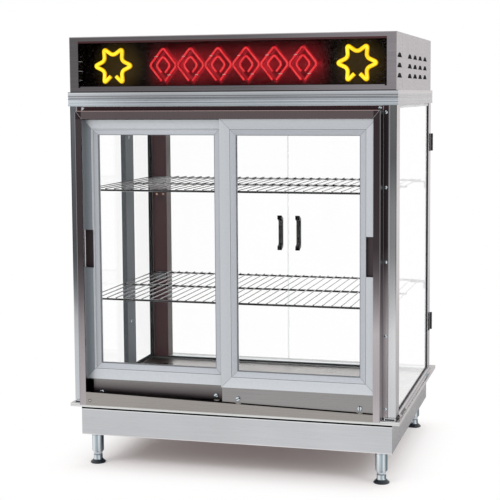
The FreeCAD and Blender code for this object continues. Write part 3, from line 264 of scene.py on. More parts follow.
def glassFinish(name, look):
    # clear to lamps, so that what stands behind it is lit
    material, tree, shader = startFinish(name, 0.0)
    shader.inputs["Transmission Weight"].default_value = 1.0
    shader.inputs["IOR"].default_value = look["ior"]
    film = noiseAt(tree, (2.5, 2.5, 1.2), 3.0)
    colour = rampOf(tree, film, [(0.3, look["tint"]), (0.7, grey(1))])
    if "edge" in look:
        rim = maths(tree, "LESS_THAN", maths(tree, "ABSOLUTE", axisOf(tree, "Normal", 1)), 0.6)
        colour = mixed(tree, rim, colour, look["edge"])
        tree.links.new(between(tree, rim, 0, 1, 1.0, 0.5), shader.inputs["Transmission Weight"])
    tree.links.new(colour, shader.inputs["Base Color"])
    rays = tree.nodes.new("ShaderNodeLightPath")
    clear = tree.nodes.new("ShaderNodeBsdfTransparent")
    mix = tree.nodes.new("ShaderNodeMixShader")
    tree.links.new(rays.outputs["Is Shadow Ray"], mix.inputs["Fac"])
    tree.links.new(shader.outputs["BSDF"], mix.inputs[1])
    tree.links.new(clear.outputs["BSDF"], mix.inputs[2])
    surface = mix.outputs["Shader"]
    if "mirror" in look:
        # a mirror added on the outer face, stronger at a slant than the glass gives, still clear to lamps
        gloss = tree.nodes.new("ShaderNodeBsdfGlossy")
        gloss.inputs["Roughness"].default_value = 0.02
        gloss.inputs["Color"].default_value = grey(1)
        fresnel = tree.nodes.new("ShaderNodeFresnel")
        fresnel.inputs["IOR"].default_value = look["mirror"]
        inner = tree.nodes.new("ShaderNodeNewGeometry")
        outer = maths(tree, "MULTIPLY", maths(tree, "SUBTRACT", 1.0, inner.outputs["Backfacing"]),
                      within(tree, look["mirrorOn"]))
        share = maths(tree, "MULTIPLY", maths(tree, "MULTIPLY", fresnel.outputs["Fac"], outer),
                      maths(tree, "SUBTRACT", 1.0, rays.outputs["Is Shadow Ray"]))
        coated = tree.nodes.new("ShaderNodeMixShader")
        tree.links.new(share, coated.inputs["Fac"])
        tree.links.new(surface, coated.inputs[1])
        tree.links.new(gloss.outputs["BSDF"], coated.inputs[2])
        surface = coated.outputs["Shader"]
    tree.links.new(surface, tree.nodes["Material Output"].inputs["Surface"])
    return material


def doorFinish(name, look, low, high):
    # bands told by the distance from the frame's outer edge, with painted highlights on the edge and the bead and
    # painted shade at the glass, and the joints of the mitred corners
    material, tree, shader = startFinish(name, look["roughness"], look["metallic"])
    x, z = axisOf(tree, "Object", 0), axisOf(tree, "Object", 2)
    across = maths(tree, "MINIMUM", maths(tree, "SUBTRACT", x, low.x), maths(tree, "SUBTRACT", high.x, x))
    upright = maths(tree, "MINIMUM", maths(tree, "SUBTRACT", z, low.z), maths(tree, "SUBTRACT", high.z, z))
    edge = maths(tree, "MINIMUM", across, upright)
    stops = [(place / look["width"], colour) for place, colour in look["bands"]]
    colour = rampOf(tree, between(tree, edge, 0, look["width"]), stops)
    # rails, stiles and the low rail each take a tone: painted light and shade on each member
    stile = maths(tree, "LESS_THAN", across, upright)
    left = maths(tree, "LESS_THAN", x, (low.x + high.x) / 2)
    lowRail = maths(tree, "LESS_THAN", z, (low.z + high.z) / 2)
    railTone = mixed(tree, lowRail, look["rails"], look.get("lowRail", look["rails"]))
    tone = mixed(tree, stile, railTone, mixed(tree, left, look["rightStile"], look["leftStile"]))
    colour = mixed(tree, 1.0, colour, tone, "MULTIPLY")
    if "ownStile" in look:
        # the stile beside the jamb: less metallic, with its own bands, painted light against the jamb's shade, and a
        # painted highlight on the bead
        beside = maths(tree, "MULTIPLY", left, stile)
        own = look["ownStile"]
        bands = rampOf(tree, between(tree, edge, 0, look["width"]), [(p / look["width"], c) for p, c in own["bands"]])
        colour = mixed(tree, beside, colour, bands)
        tree.links.new(between(tree, beside, 0, 1, look["metallic"], own["metallic"]), shader.inputs["Metallic"])
    joint = maths(tree, "LESS_THAN", maths(tree, "ABSOLUTE", maths(tree, "SUBTRACT", across, upright)), 0.0008)
    joint = maths(tree, "MULTIPLY", joint, maths(tree, "LESS_THAN", edge, look["width"]))
    colour = mixed(tree, joint, colour, look["joint"])
    flat = within(tree, dict(ny=faceFront))
    colour = mixed(tree, flat, look["edges"], colour)
    pull = within(tree, dict(x=look["pullX"], z=look["pullZ"], y=(low.y + 0.0006, high.y + 0.001)))
    colour = mixed(tree, pull, colour, look["pullInside"])
    grain = noiseAt(tree, (160, 160, 160), 3.0)
    colour = mixed(tree, 1.0, colour, rampOf(tree, grain, [(0.3, grey(0.95)), (0.7, grey(1))]), "MULTIPLY")
    tree.links.new(colour, shader.inputs["Base Color"])
    addBump(tree, shader, grain, 0.1, 0.0002)
    return material


def litTubeFinish(name, look):
    # gas tube: deeper colour in the unlit patches of the coating, brighter between them; faces turned away from the
    # front take the rim colour, painted shade at the tube's sides
    material, tree, shader = startFinish(name, 0.15)
    patches = noiseAt(tree, (look["patch"],) * 3, 2.0)
    core = rampOf(tree, patches, [(0.35, look["deep"]), (0.55, look["bright"])])
    facing = between(tree, axisOf(tree, "Normal", 1), -0.45, -0.85, smooth=True)
    glow = mixed(tree, facing, look["rim"], core)
    tree.links.new(mixed(tree, 1.0, glow, look["unlit"], "MULTIPLY"), shader.inputs["Base Color"])
    tree.links.new(glow, shader.inputs["Emission Color"])
    shader.inputs["Emission Strength"].default_value = look["strength"]
    return material


def backPanelFinish(name, look):
    # dark enamel, with the blurred light of the tubes in front of it painted on as a glow of its own
    material, tree, shader = startFinish(name, 0.5)
    shader.inputs["Specular IOR Level"].default_value = 0.12
    cloud = noiseAt(tree, (14, 14, 30), 3.0)
    tree.links.new(rampOf(tree, cloud, [(0.3, look["dark"]), (0.7, look["light"])]), shader.inputs["Base Color"])
    x, z = axisOf(tree, "Object", 0), axisOf(tree, "Object", 2)
    off = maths(tree, "ABSOLUTE", maths(tree, "SUBTRACT", z, look["centre"]))
    side = maths(tree, "ABSOLUTE", x)
    inRow = between(tree, side, look["halfRow"] + 0.03, look["halfRow"] - 0.03, smooth=True)
    wide = maths(tree, "MULTIPLY", between(tree, off, look["reach"], 0.0, smooth=True), inRow)
    wide = maths(tree, "MULTIPLY", wide, between(tree, cloud, 0.3, 0.7, 0.5, 1.0))
    fold = maths(tree, "PINGPONG", maths(tree, "ADD", x, 6 * look["pitch"] + look["lean"]), look["pitch"] / 2)
    shape = maths(tree, "ADD", maths(tree, "DIVIDE", maths(tree, "SUBTRACT", look["pitch"] / 2, fold), look["halfWidth"]),
                  maths(tree, "DIVIDE", off, look["halfHeight"]))
    near = maths(tree, "ABSOLUTE", maths(tree, "SUBTRACT", shape, 0.92))
    inHalo = between(tree, side, look["halfRow"] + 0.004, look["halfRow"] - 0.014, smooth=True)
    halo = maths(tree, "MULTIPLY", between(tree, near, look["blur"], 0.0, smooth=True), inHalo)
    glow = mixed(tree, wide, grey(0), look["glow"])
    glow = mixed(tree, halo, glow, look["halo"], "ADD")
    fromBurst = maths(tree, "SUBTRACT", side, look["burstX"])
    radius = maths(tree, "SQRT", maths(tree, "ADD", maths(tree, "MULTIPLY", fromBurst, fromBurst),
                                       maths(tree, "MULTIPLY", off, off)))
    ring = between(tree, radius, 0.085, 0.03, smooth=True)
    glow = mixed(tree, ring, glow, look["burstGlow"], "ADD")
    tree.links.new(glow, shader.inputs["Emission Color"])
    shader.inputs["Emission Strength"].default_value = 1.0
    return material


alongFront = (6, 40, 700)     # brushed along X on front faces and along Y on side faces
upAndDown = (500, 500, 6)     # drawn or brushed along Z

faceFront, faceOut, faceUp = (-1.1, -0.7), (0.7, 1.1), (0.7, 1.1)

# tones by the facing round a chrome tube: painted reflections
chromeReflections = [(0, paint(128, 140, 148)), (0.14, paint(176, 188, 195)), (0.30, paint(236, 240, 242)),
               (0.46, paint(186, 198, 205)), (0.62, paint(150, 165, 174)), (0.76, paint(226, 232, 234)),
               (0.90, paint(112, 127, 137)), (1, paint(84, 98, 108))]

finishLooks = {
    # the black band under the deck's lip is painted shadow, the light lines below it and at the bottom edge are painted
    # highlights, and the side is darker low down: painted shade
    "base_steel": dict(front=paint(204, 206, 209), side=[(0.087, paint(116, 113, 117)), (0.17, paint(138, 134, 136))],
                       top=paint(150, 150, 152), roughness=0.34, grain=alongFront, contrast=0.12,
                       zones=[(dict(ny=faceFront, z=(0.1590, 0.1680)), paint(8, 7, 8)),
                              (dict(ny=faceFront, z=(0.1566, 0.1590)), paint(232, 234, 235)),
                              (dict(ny=faceFront, z=(0.0860, 0.0895)), paint(226, 223, 224))]),
    "control_plate": dict(front=paint(188, 190, 193), side=paint(120, 120, 122), top=paint(120, 120, 122),
                          roughness=0.3, grain=alongFront, contrast=0.08,
                          zones=[(dict(x=(0.1430, 0.3770), z=(0.1035, 0.1041)), paint(110, 112, 115)),
                                 (dict(x=(0.1430, 0.3770), z=(0.1529, 0.1535)), paint(110, 112, 115)),
                                 (dict(x=(0.2840, 0.2846), z=(0.1041, 0.1529)), paint(110, 112, 115))],
                          dots=[dict(x=0.330, z=0.1285, inner=0.0185, outer=0.0222, ticks=math.radians(27), half=0.0006,
                                     sweep=2.40, colour=paint(30, 30, 32), limits=dict(ny=faceUp)),
                                dict(x=0.330, z=0.1560, outer=0.0010, colour=paint(30, 30, 32), limits=dict(ny=faceUp))]),
    "deck_steel": dict(front=paint(230, 231, 230), side=paint(174, 167, 169), top=paint(184, 180, 178),
                       roughness=0.3, grain=alongFront,
                       zones=[(dict(ny=faceFront, z=(0.1745, 0.1753)), paint(176, 174, 174))]),
    "floor_steel": dict(front=paint(196, 196, 198), roughness=0.42, metallic=0.8, grain=alongFront),
    "galvanised": dict(front=paint(150, 153, 156), roughness=0.45, grain=(60, 60, 60), cloud=(35, 35, 35)),
    "heater_sheath": dict(front=paint(80, 72, 66), roughness=0.5, grain=(200, 200, 200)),
    "leg_chrome": dict(front=paint(206, 214, 220), roughness=0.12, grain=upAndDown, contrast=0.04,
                       round=chromeReflections, roundZ=(0.03, 0.09)),
    # the colours by height are painted reflection and shade: light low down, dark higher up, the sides lighter higher
    # up
    "post_aluminium": dict(front=[(0.19, paint(209, 210, 212)), (0.252, paint(211, 212, 214)),
                                   (0.333, paint(217, 218, 220)), (0.415, paint(216, 217, 219)),
                                   (0.46, paint(201, 202, 204)), (0.524, paint(177, 178, 180)),
                                   (0.6, paint(145, 146, 148)), (0.633, paint(136, 137, 139)),
                                   (0.742, paint(129, 130, 132)), (0.8, paint(113, 114, 116)), (0.86, paint(97, 98, 100)),
                                   (0.95, paint(105, 106, 108))],
                           side=[(0.19, paint(116, 108, 110)), (0.252, paint(120, 112, 114)), (0.333, paint(138, 130, 132)),
                                 (0.415, paint(148, 140, 142)), (0.48, paint(166, 158, 160)), (0.524, paint(184, 176, 178)),
                                 (0.633, paint(192, 184, 186)), (0.742, paint(202, 194, 196)), (0.95, paint(190, 182, 184))],
                           roughness=0.26, grain=upAndDown, contrast=0.08,
                           zones=[(dict(x=(-0.46, -0.42), ny=faceFront),
                                   [(0.19, paint(205, 208, 212)), (0.333, paint(200, 203, 207)),
                                   (0.415, paint(182, 185, 189)), (0.47, paint(137, 140, 144)),
                                   (0.524, paint(103, 106, 110)), (0.58, paint(83, 86, 90)), (0.633, paint(78, 81, 85)),
                                   (0.742, paint(85, 88, 92)), (0.85, paint(92, 95, 99)), (0.95, paint(101, 104, 108))]),
                                  # narrow strips at the posts' edges and sides: painted highlights and reflections
                                  (dict(absX=(0.4444, 0.4470), ny=faceFront),
                                   [(0.19, paint(206, 204, 206)), (0.45, paint(200, 198, 200)),
                                   (0.53, paint(110, 108, 110)), (0.6, paint(40, 38, 40)), (0.75, paint(70, 68, 70)),
                                   (0.95, paint(24, 22, 24))]),
                                  (dict(x=(0.4230, 0.4262), ny=faceFront),
                                   [(0.19, paint(126, 124, 127)), (0.30, paint(140, 138, 141)),
                                    (0.415, paint(152, 150, 152)), (0.524, paint(160, 157, 159)),
                                    (0.742, paint(146, 143, 146)), (0.85, paint(100, 97, 101))]),
                                  (dict(absX=(0.4262, 0.4290), ny=faceFront),
                                   [(0.19, paint(222, 222, 223)), (0.4, paint(226, 226, 227)), (0.5, paint(184, 184, 185)),
                                   (0.6, paint(166, 166, 167)), (0.95, paint(146, 146, 147))])]),
    # bright bands are painted highlights on the edges, with painted shade in the channel between
    "rail_aluminium": dict(front=[(0.1795, paint(236, 240, 242)), (0.1812, paint(200, 204, 206)),
                                  (0.1818, paint(54, 52, 56)), (0.1852, paint(64, 62, 66)),
                                  (0.1860, paint(232, 238, 240)), (0.1880, paint(240, 244, 245))],
                           side=paint(182, 174, 176), roughness=0.3, grain=alongFront,
                           # a dark patch of painted shade and a blue-white patch of painted reflection on the side
                           zones=[(dict(absX=(0.4478, 0.4530), y=(-0.2700, -0.2000)), paint(44, 38, 38)),
                                  (dict(absX=(0.4478, 0.4530), y=(0.2150, 0.2500)), paint(122, 142, 152))]),
    # darker lines at the grooves are painted shade, the dark band at the top is painted shadow in the gap under the
    # sign, and the tone across is painted reflection
    "trim_aluminium": dict(front=[(0.996, paint(176, 184, 190)), (1.0030, paint(192, 200, 207)),
                                  (1.0125, paint(206, 212, 218)), (1.0150, paint(122, 126, 132)),
                                  (1.0185, paint(170, 175, 181)), (1.0208, paint(206, 209, 213)),
                                  (1.0218, paint(104, 104, 108)), (1.0228, paint(104, 104, 108)),
                                  (1.0238, paint(176, 180, 185)),
                                  (1.0322, paint(206, 209, 213)), (1.0330, paint(34, 30, 32)),
                                  (1.0342, paint(34, 30, 32))],
                           side=[(0.996, paint(176, 168, 170)), (1.0125, paint(188, 180, 182)),
                                 (1.0150, paint(150, 142, 144)), (1.0165, paint(188, 180, 182)),
                                 (1.0240, paint(170, 162, 164)), (1.0252, paint(196, 188, 190)),
                                 (1.0342, paint(190, 182, 184))],
                           top=paint(222, 224, 226), roughness=0.24, grain=alongFront, contrast=0.16,
                           along=[(0, grey(1.2)), (0.06, grey(1.12)), (0.14, grey(0.98)), (0.25, grey(0.86)),
                                  (0.45, grey(0.84)), (0.65, grey(0.86)), (0.85, grey(0.94)), (1, grey(0.98))]),
    # the colours by height are painted reflection and shade, light low down and darker higher up; the dark sides and
    # top faces are painted shade; the tone across is painted reflection
    "surround_aluminium": dict(front=[(0.19, paint(186, 178, 180)), (0.27, paint(172, 164, 166)),
                                      (0.38, paint(146, 140, 143)), (0.48, paint(98, 90, 93)),
                                      (0.60, paint(66, 57, 60)), (0.90, paint(56, 48, 51))],
                               side=[(0.19, paint(168, 162, 164)), (0.32, paint(140, 134, 137)),
                                     (0.46, paint(66, 58, 61)), (0.60, paint(28, 22, 25)), (0.90, paint(22, 16, 20))],
                               top=paint(44, 34, 37), roughness=0.3, grain=upAndDown, contrast=0.08,
                               along=[(0, grey(0.86)), (0.2, grey(0.95)), (0.8, grey(1.0)), (1, grey(1.14))],
                               joints=[dict(x=0.3945, z=0.962, slope=1.222, width=0.0011, colour=paint(28, 22, 25),
                                            limits=dict(ny=faceFront, y=(-0.39, -0.3855), z=(0.962, 0.985))),
                                       # a light line beside the dark mitre joint: painted highlight
                                       dict(x=0.3945, z=0.962, slope=1.222, shift=0.0022, width=0.0009,
                                            colour=paint(150, 146, 148),
                                            limits=dict(ny=faceFront, y=(-0.39, -0.3855), z=(0.962, 0.985)))],
                               zones=[(dict(ny=faceFront, z=(0.9620, 0.9850), absX=(0, 0.3945)), paint(98, 88, 90)),
                                      # a pinkish line on the top edge: painted highlight
                                      (dict(z=(0.9828, 0.9845), y=(-0.39, -0.3855)), paint(190, 164, 162)),
                                      (dict(x=(0.38, 0.42), ny=faceFront, y=(-0.39, -0.3855), z=(0.18, 0.9620)),
                                       [(0.19, paint(193, 186, 189)), (0.27, paint(179, 172, 175)),
                                   (0.333, paint(182, 175, 178)), (0.415, paint(189, 182, 185)),
                                   (0.47, paint(159, 152, 155)), (0.524, paint(123, 116, 119)), (0.58, paint(87, 80, 83)),
                                   (0.633, paint(66, 59, 62)), (0.742, paint(60, 53, 56)), (0.9, paint(57, 50, 53))]),
                                      (dict(x=(-0.42, -0.38), ny=faceFront, y=(-0.39, -0.3855), z=(0.18, 0.9620)),
                                       [(0.19, paint(179, 172, 175)), (0.27, paint(173, 166, 169)),
                                   (0.333, paint(166, 159, 162)), (0.415, paint(147, 140, 143)),
                                   (0.48, paint(111, 104, 107)), (0.524, paint(93, 86, 89)), (0.6, paint(69, 62, 65)),
                                   (0.75, paint(68, 61, 64)), (0.95, paint(71, 64, 67))]),
                                      (dict(ny=faceFront, y=(-0.345, -0.330), z=(0.18, 0.985)),
                                       [(0.19, paint(171, 164, 167)), (0.25, paint(166, 159, 162)),
                                   (0.333, paint(180, 173, 176)), (0.415, paint(191, 184, 187)),
                                   (0.47, paint(168, 161, 164)), (0.524, paint(140, 133, 136)), (0.58, paint(95, 88, 91)),
                                   (0.633, paint(60, 53, 56)), (0.9, paint(53, 46, 49))]),
                                      # the flange's top darkened: painted shade
                                      (dict(ny=faceFront, y=(-0.345, -0.330), z=(0.985, 1.0)), paint(58, 42, 45)),
                                      # light lines at the folds: painted highlights
                                      (dict(absX=(0.4112, 0.4127), ny=faceFront, y=(-0.39, -0.3855)),
                                       paint(150, 145, 148)),
                                      (dict(absX=(0.4108, 0.4132), y=(-0.3445, -0.3380)), paint(140, 136, 140))]),
    "sill_aluminium": dict(front=paint(162, 157, 153), top=paint(130, 122, 118), roughness=0.3, grain=alongFront,
                           # a dark band of painted shade in the gap above the sill, painted shade in the channel on
                           # top, and a painted highlight on the sill's front edge
                           zones=[(dict(y=(-0.345, -0.33), ny=faceFront), paint(30, 26, 28)),
                                  (dict(y=(-0.3845, -0.339), nz=faceUp), paint(34, 30, 32)),
                                  (dict(y=(-0.39, -0.3838), nz=faceUp), paint(214, 211, 208))],
                           # a painted screw: a light head inside a dark ring of painted shade
                           dots=[dict(x=-0.383, z=0.199, outer=0.0042, colour=paint(60, 56, 56),
                                      limits=dict(ny=faceFront, y=(-0.39, -0.38))),
                                 dict(x=-0.383, z=0.199, outer=0.0026, colour=paint(196, 194, 192),
                                      limits=dict(ny=faceFront, y=(-0.39, -0.38)))]),
    # dark all over: painted shade in the channel of the sill
    "track_aluminium": dict(front=paint(46, 42, 44), top=paint(70, 66, 68), roughness=0.35, grain=alongFront),
    "skirt_steel": dict(front=paint(156, 153, 153), roughness=0.32, grain=alongFront,
                        # darker towards the sill: painted shade in the recess under the doors
                        zones=[(dict(y=(-0.3600, -0.3400)), [(0.206, paint(84, 76, 78)), (0.222, paint(86, 78, 80)),
                                                            (0.232, paint(104, 98, 99)), (0.254, paint(140, 137, 136))])]),
    "sign_steel": dict(front=paint(118, 114, 117), side=paint(142, 135, 137), top=paint(196, 192, 192),
                       # inside the housing the colour is near black: painted shade inside the housing and behind its
                       # louvres
                       hollow=dict(absX=(0, 0.4446), y=(-0.3300, 0.3230), z=(1.0645, 1.1385)),
                       roughness=0.3, grain=alongFront, contrast=0.2,
                       # a tone across X: painted reflection, brighter to the right
                       along=[(0, grey(0.74)), (0.55, grey(0.84)), (0.85, grey(1.35)), (1, grey(1.6))],
                       zones=[(dict(absX=(0, 0.4446), y=(-0.3300, 0.3230), z=(1.0645, 1.1385)), paint(12, 10, 12)),
                              (dict(absX=(0.4448, 0.4460), y=(-0.2385, -0.2366)), paint(122, 112, 115)),
                              # a painted highlight on the top edge, a dark line of painted shade at the bottom edge, a
                              # painted highlight on the side corners, painted shade on the window's inner lip, and the
                              # red light of the tubes painted on its upper edge
                              (dict(ny=faceFront, z=(1.1800, 1.1825)), paint(176, 170, 172)),
                              (dict(ny=faceFront, z=(1.0340, 1.0352)), paint(44, 38, 40)),
                              (dict(absX=(0.4435, 0.4452), ny=faceFront), paint(150, 146, 148)),
                              (dict(absX=(0.4150, 0.4203), z=(1.0455, 1.1695), y=(-0.34, -0.3330)), paint(20, 14, 15)),
                              (dict(absX=(0, 0.4203), z=(1.1645, 1.1700), y=(-0.34, -0.3330)), paint(84, 54, 56)),
                              (dict(absX=(0, 0.4203), z=(1.0485, 1.0500), y=(-0.34, -0.3330)), paint(34, 26, 28))]),
    "bracket_steel": dict(front=paint(110, 112, 114), roughness=0.4, grain=(90, 90, 90)),
    "screw_steel": dict(front=paint(206, 216, 222), roughness=0.2, grain=(300, 300, 300)),
    "screw_brass": dict(front=paint(214, 190, 160), roughness=0.25, grain=(300, 300, 300)),
    # near black: painted shade in the screw slots
    "screw_slot": dict(front=paint(26, 26, 28), roughness=0.5, grain=(300, 300, 300)),
    "clip_chrome": dict(front=paint(236, 240, 242), roughness=0.2, grain=(300, 300, 300),
                        # the pocket darkened: painted shade inside the clip
                        zones=[(dict(y=(-0.3420, -0.3360), z=(0.1810, 0.1862)), paint(70, 70, 74))]),
    # dark on the sides and bright on top: painted chrome reflections by facing
    "shelf_chrome": dict(front=paint(62, 62, 64), top=paint(232, 232, 232), roughness=0.16, grain=(300, 300, 300),
                         contrast=0.08),
}

paintLooks = {
    "wheel_plastic": dict(front=paint(48, 48, 50), roughness=0.5),
    "black_plastic": dict(front=paint(34, 34, 36), roughness=0.5),
    "rocker_plastic": dict(front=paint(42, 42, 44), roughness=0.3,
                           zones=[(dict(x=(0.1844, 0.1856), z=(0.1325, 0.1370), y=(0.345, 0.36)), paint(225, 225, 222)),
                                  (dict(x=(0.2344, 0.2356), z=(0.1325, 0.1370), y=(0.345, 0.36)), paint(225, 225, 222))],
                           dots=[dict(x=x, z=0.1230, inner=0.0014, outer=0.0023, colour=paint(225, 225, 222),
                                      limits=dict(y=(0.345, 0.36))) for x in (0.185, 0.235)]),
    "foot_plastic": dict(front=paint(34, 42, 50), roughness=0.3, metalAbove=0.0105,
                         zones=[(dict(z=(0.0105, 0.08)), paint(206, 214, 220)),
                                # a darker band just under the leg's end: painted shade
                                (dict(z=(0.0225, 0.0245)), paint(120, 132, 140))],
                         round=chromeReflections, roundZ=(0.0105, 0.0225)),
    "transformer_paint": dict(front=paint(38, 38, 40), roughness=0.4),
    "lamp_white": dict(front=paint(235, 234, 230), roughness=0.3),
    "black_rubber": dict(front=paint(40, 42, 46), roughness=0.7, bump=0.25,
                         # light bands on the gaskets beside the side panes: painted reflections
                         zones=[(dict(z=(0.9860, 1.0), absX=(0.43, 0.45), y=(-0.28, 0.2680)), paint(226, 226, 228)),
                                (dict(z=(0.1870, 0.1925), absX=(0.4440, 0.45)), paint(176, 168, 170)),
                                (dict(y=(0.2645, 0.2690), absX=(0.4440, 0.45)), paint(140, 152, 162))]),
    "roller_nylon": dict(front=paint(226, 223, 214), roughness=0.4),
    "hinge_black": dict(front=paint(34, 34, 36), roughness=0.4),
    "raceway_grey": dict(front=paint(112, 120, 127), roughness=0.5,
                         zones=[(dict(y=(0.0145, 0.0175)), paint(78, 84, 90)), (dict(y=(0.0800, 0.0835)), paint(84, 90, 96))]),
    "riser_brown": dict(front=paint(66, 36, 40), side=paint(84, 74, 70), roughness=0.5,
                        # a light line on the left edge: painted highlight
                        zones=[(dict(x=(-0.4345, -0.4320), ny=(-1.1, -0.7)), paint(120, 112, 108))],
                        # two dark dots for small holes: painted shade, no hole is cut
                        dots=[dict(x=-0.4115, z=0.6990, outer=0.0040, colour=paint(6, 3, 4),
                                   limits=dict(ny=(-1.1, -0.7))),
                              dict(x=-0.4010, z=0.6990, outer=0.0040, colour=paint(6, 3, 4), limits=dict(ny=(-1.1, -0.7)))]),
}

glassLooks = {
    "clear_glass": dict(tint=grey(0.992), ior=1.12),
    "window_glass": dict(tint=grey(0.98), ior=1.02),
    "rear_panel_glass": dict(tint=grey(0.99), ior=1.12, edge=paint(206, 216, 212)),
    "support_glass": dict(tint=grey(0.95), ior=1.3),
    "side_pane": dict(tint=grey(0.995), ior=1.1, mirror=3.0, mirrorOn=dict(absX=(0.4425, 0.4440))),
}

litLooks = {
    "neon_red_glass": dict(rim=paint(150, 16, 24), deep=paint(196, 24, 32), bright=paint(222, 40, 46), patch=30,
                           unlit=grey(0.15), strength=0.95),
    "neon_yellow_glass": dict(rim=paint(226, 160, 10), deep=paint(250, 214, 10), bright=paint(255, 238, 40), patch=40,
                              unlit=grey(0.3), strength=0.9),
}

doorLook = dict(
    width=0.0455, roughness=0.42, metallic=0.7,
    # painted highlights near the outer edge and on the bead, painted shade at the glass edge
    bands=[(0, paint(176, 180, 184)), (0.0008, paint(176, 180, 184)), (0.0012, paint(222, 226, 228)),
           (0.0022, paint(208, 212, 216)), (0.0270, paint(204, 208, 213)), (0.0276, paint(236, 240, 242)),
           (0.0290, paint(236, 240, 242)), (0.0296, paint(198, 202, 208)), (0.0435, paint(190, 194, 201)),
           (0.0445, paint(112, 114, 118)), (0.0455, paint(112, 114, 118))],
    joint=paint(150, 154, 158),
    edges=paint(172, 176, 180), pullInside=paint(72, 62, 66),
)
# tones for the rails and stiles of each door: painted light and shade
doorOwn = {"right": dict(pullX=(0.3755, 0.4045), pullZ=(0.5592, 0.6638), rails=grey(0.82), lowRail=grey(1.0), leftStile=grey(0.86),
                         rightStile=grey(0.92)),
           "left": dict(pullX=(-0.4045, -0.3755), pullZ=(0.5592, 0.6638), rails=grey(1.0), leftStile=grey(0.62),
                        rightStile=grey(0.95),
                        ownStile=dict(metallic=0.15, bands=[(0, paint(184, 192, 200)), (0.0080, paint(150, 158, 166)),
                                                            (0.0266, paint(128, 136, 144)), (0.0276, paint(240, 243, 246)),
                                                            (0.0304, paint(240, 243, 246)), (0.0314, paint(140, 145, 151)),
                                                            (0.0360, paint(166, 170, 176)), (0.0435, paint(172, 176, 182)),
                                                            (0.0445, paint(112, 114, 118)), (0.0455, paint(112, 114, 118))]))}

backLook = dict(dark=paint(12, 7, 7), light=paint(24, 14, 12), glow=paint(134, 22, 30), halo=paint(126, 20, 28),
                burstGlow=paint(46, 36, 12), centre=1.1045, reach=0.075, halfRow=0.235, pitch=0.077, halfWidth=0.038,
                halfHeight=0.047, lean=0.006, blur=0.28, burstX=0.336)

finishes = {slot: metalFinish(slot.replace("_", " "), look) for slot, look in finishLooks.items()}
finishes.update({slot: paintFinish(slot.replace("_", " "), look) for slot, look in paintLooks.items()})
finishes.update({slot: glassFinish(slot.replace("_", " "), look) for slot, look in glassLooks.items()})
finishes.update({slot: litTubeFinish(slot.replace("_", " "), look) for slot, look in litLooks.items()})
finishes["back_brown"] = backPanelFinish("back brown", backLook)

finishes["door_aluminium"] = metalFinish("door aluminium", dict(front=paint(196, 200, 205), roughness=0.4,
                                                                grain=(160, 160, 160)))
for part in frame["record"]["subparts"]:
    for slot in cadNode[part["node"]].material_slots:
        slot.material = finishes[part["material_slot"]]
for slot in cadNode["side_glass"].material_slots:
    slot.material = finishes["side_pane"]
for slot in cadNode["control_panel"].material_slots:
    slot.material = finishes["control_plate"]
for side in ("right", "left"):
    node = side + "_door_frame"
    finishes[node] = doorFinish(side + " door aluminium", {**doorLook, **doorOwn[side]}, *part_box(node))
    cadNode[node].material_slots[0].material = finishes[node]
print("finishes made:", len(finishes))


# Helpers for the pieces

def choose(obj):
    bpy.ops.object.select_all(action="DESELECT")
    obj.select_set(True)
    bpy.context.view_layer.objects.active = obj


def settle(obj, smoothAngle=40):
    # place, turn and size go into the mesh
    choose(obj)
    bpy.ops.object.transform_apply(location=True, rotation=True, scale=True)
    bpy.ops.object.shade_smooth_by_angle(angle=math.radians(smoothAngle))
    return obj


def dress(obj, name, slot, body, *standsFor):
    obj.name = name
    obj.data.name = name
    obj.data.materials.clear()
    obj.data.materials.append(finishes[slot])
    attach(obj, body)
    if standsFor:
        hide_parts(*standsFor)
    return obj


def copyOf(obj, offset):
    twin = obj.copy()
    twin.data = obj.data.copy()
    twin.location = Vector(twin.location) + Vector(offset)
    scene.collection.objects.link(twin)
    return twin


def joined(objects):
    bpy.ops.object.select_all(action="DESELECT")
    for obj in objects:
        obj.select_set(True)
    bpy.context.view_layer.objects.active = objects[0]
    bpy.ops.object.join()
    return bpy.context.object


def bentTube(points, radius, bend, sides=4):
    # a line extruded from corner to corner, its corners rounded, then given a round section
    bpy.ops.object.select_all(action="DESELECT")
    bpy.ops.mesh.primitive_plane_add(size=0.01, location=points[0])
    bpy.ops.object.mode_set(mode="EDIT")
    bpy.ops.mesh.select_mode(type="VERT")
    bpy.ops.mesh.merge(type="CENTER")
    for first, second in zip(points[:-1], points[1:]):
        bpy.ops.mesh.extrude_region_move(TRANSFORM_OT_translate={"value": second - first})
    if bend:
        bpy.ops.mesh.select_all(action="SELECT")
        bpy.ops.mesh.bevel(offset=bend, segments=6, affect="VERTICES", offset_type="OFFSET")
    bpy.ops.object.mode_set(mode="OBJECT")
    bpy.ops.object.convert(target="CURVE")
    tube = bpy.context.object
    tube.data.bevel_depth = radius
    tube.data.bevel_resolution = sides
    tube.data.use_fill_caps = True
    bpy.ops.object.convert(target="MESH")
    return settle(bpy.context.object, 60)


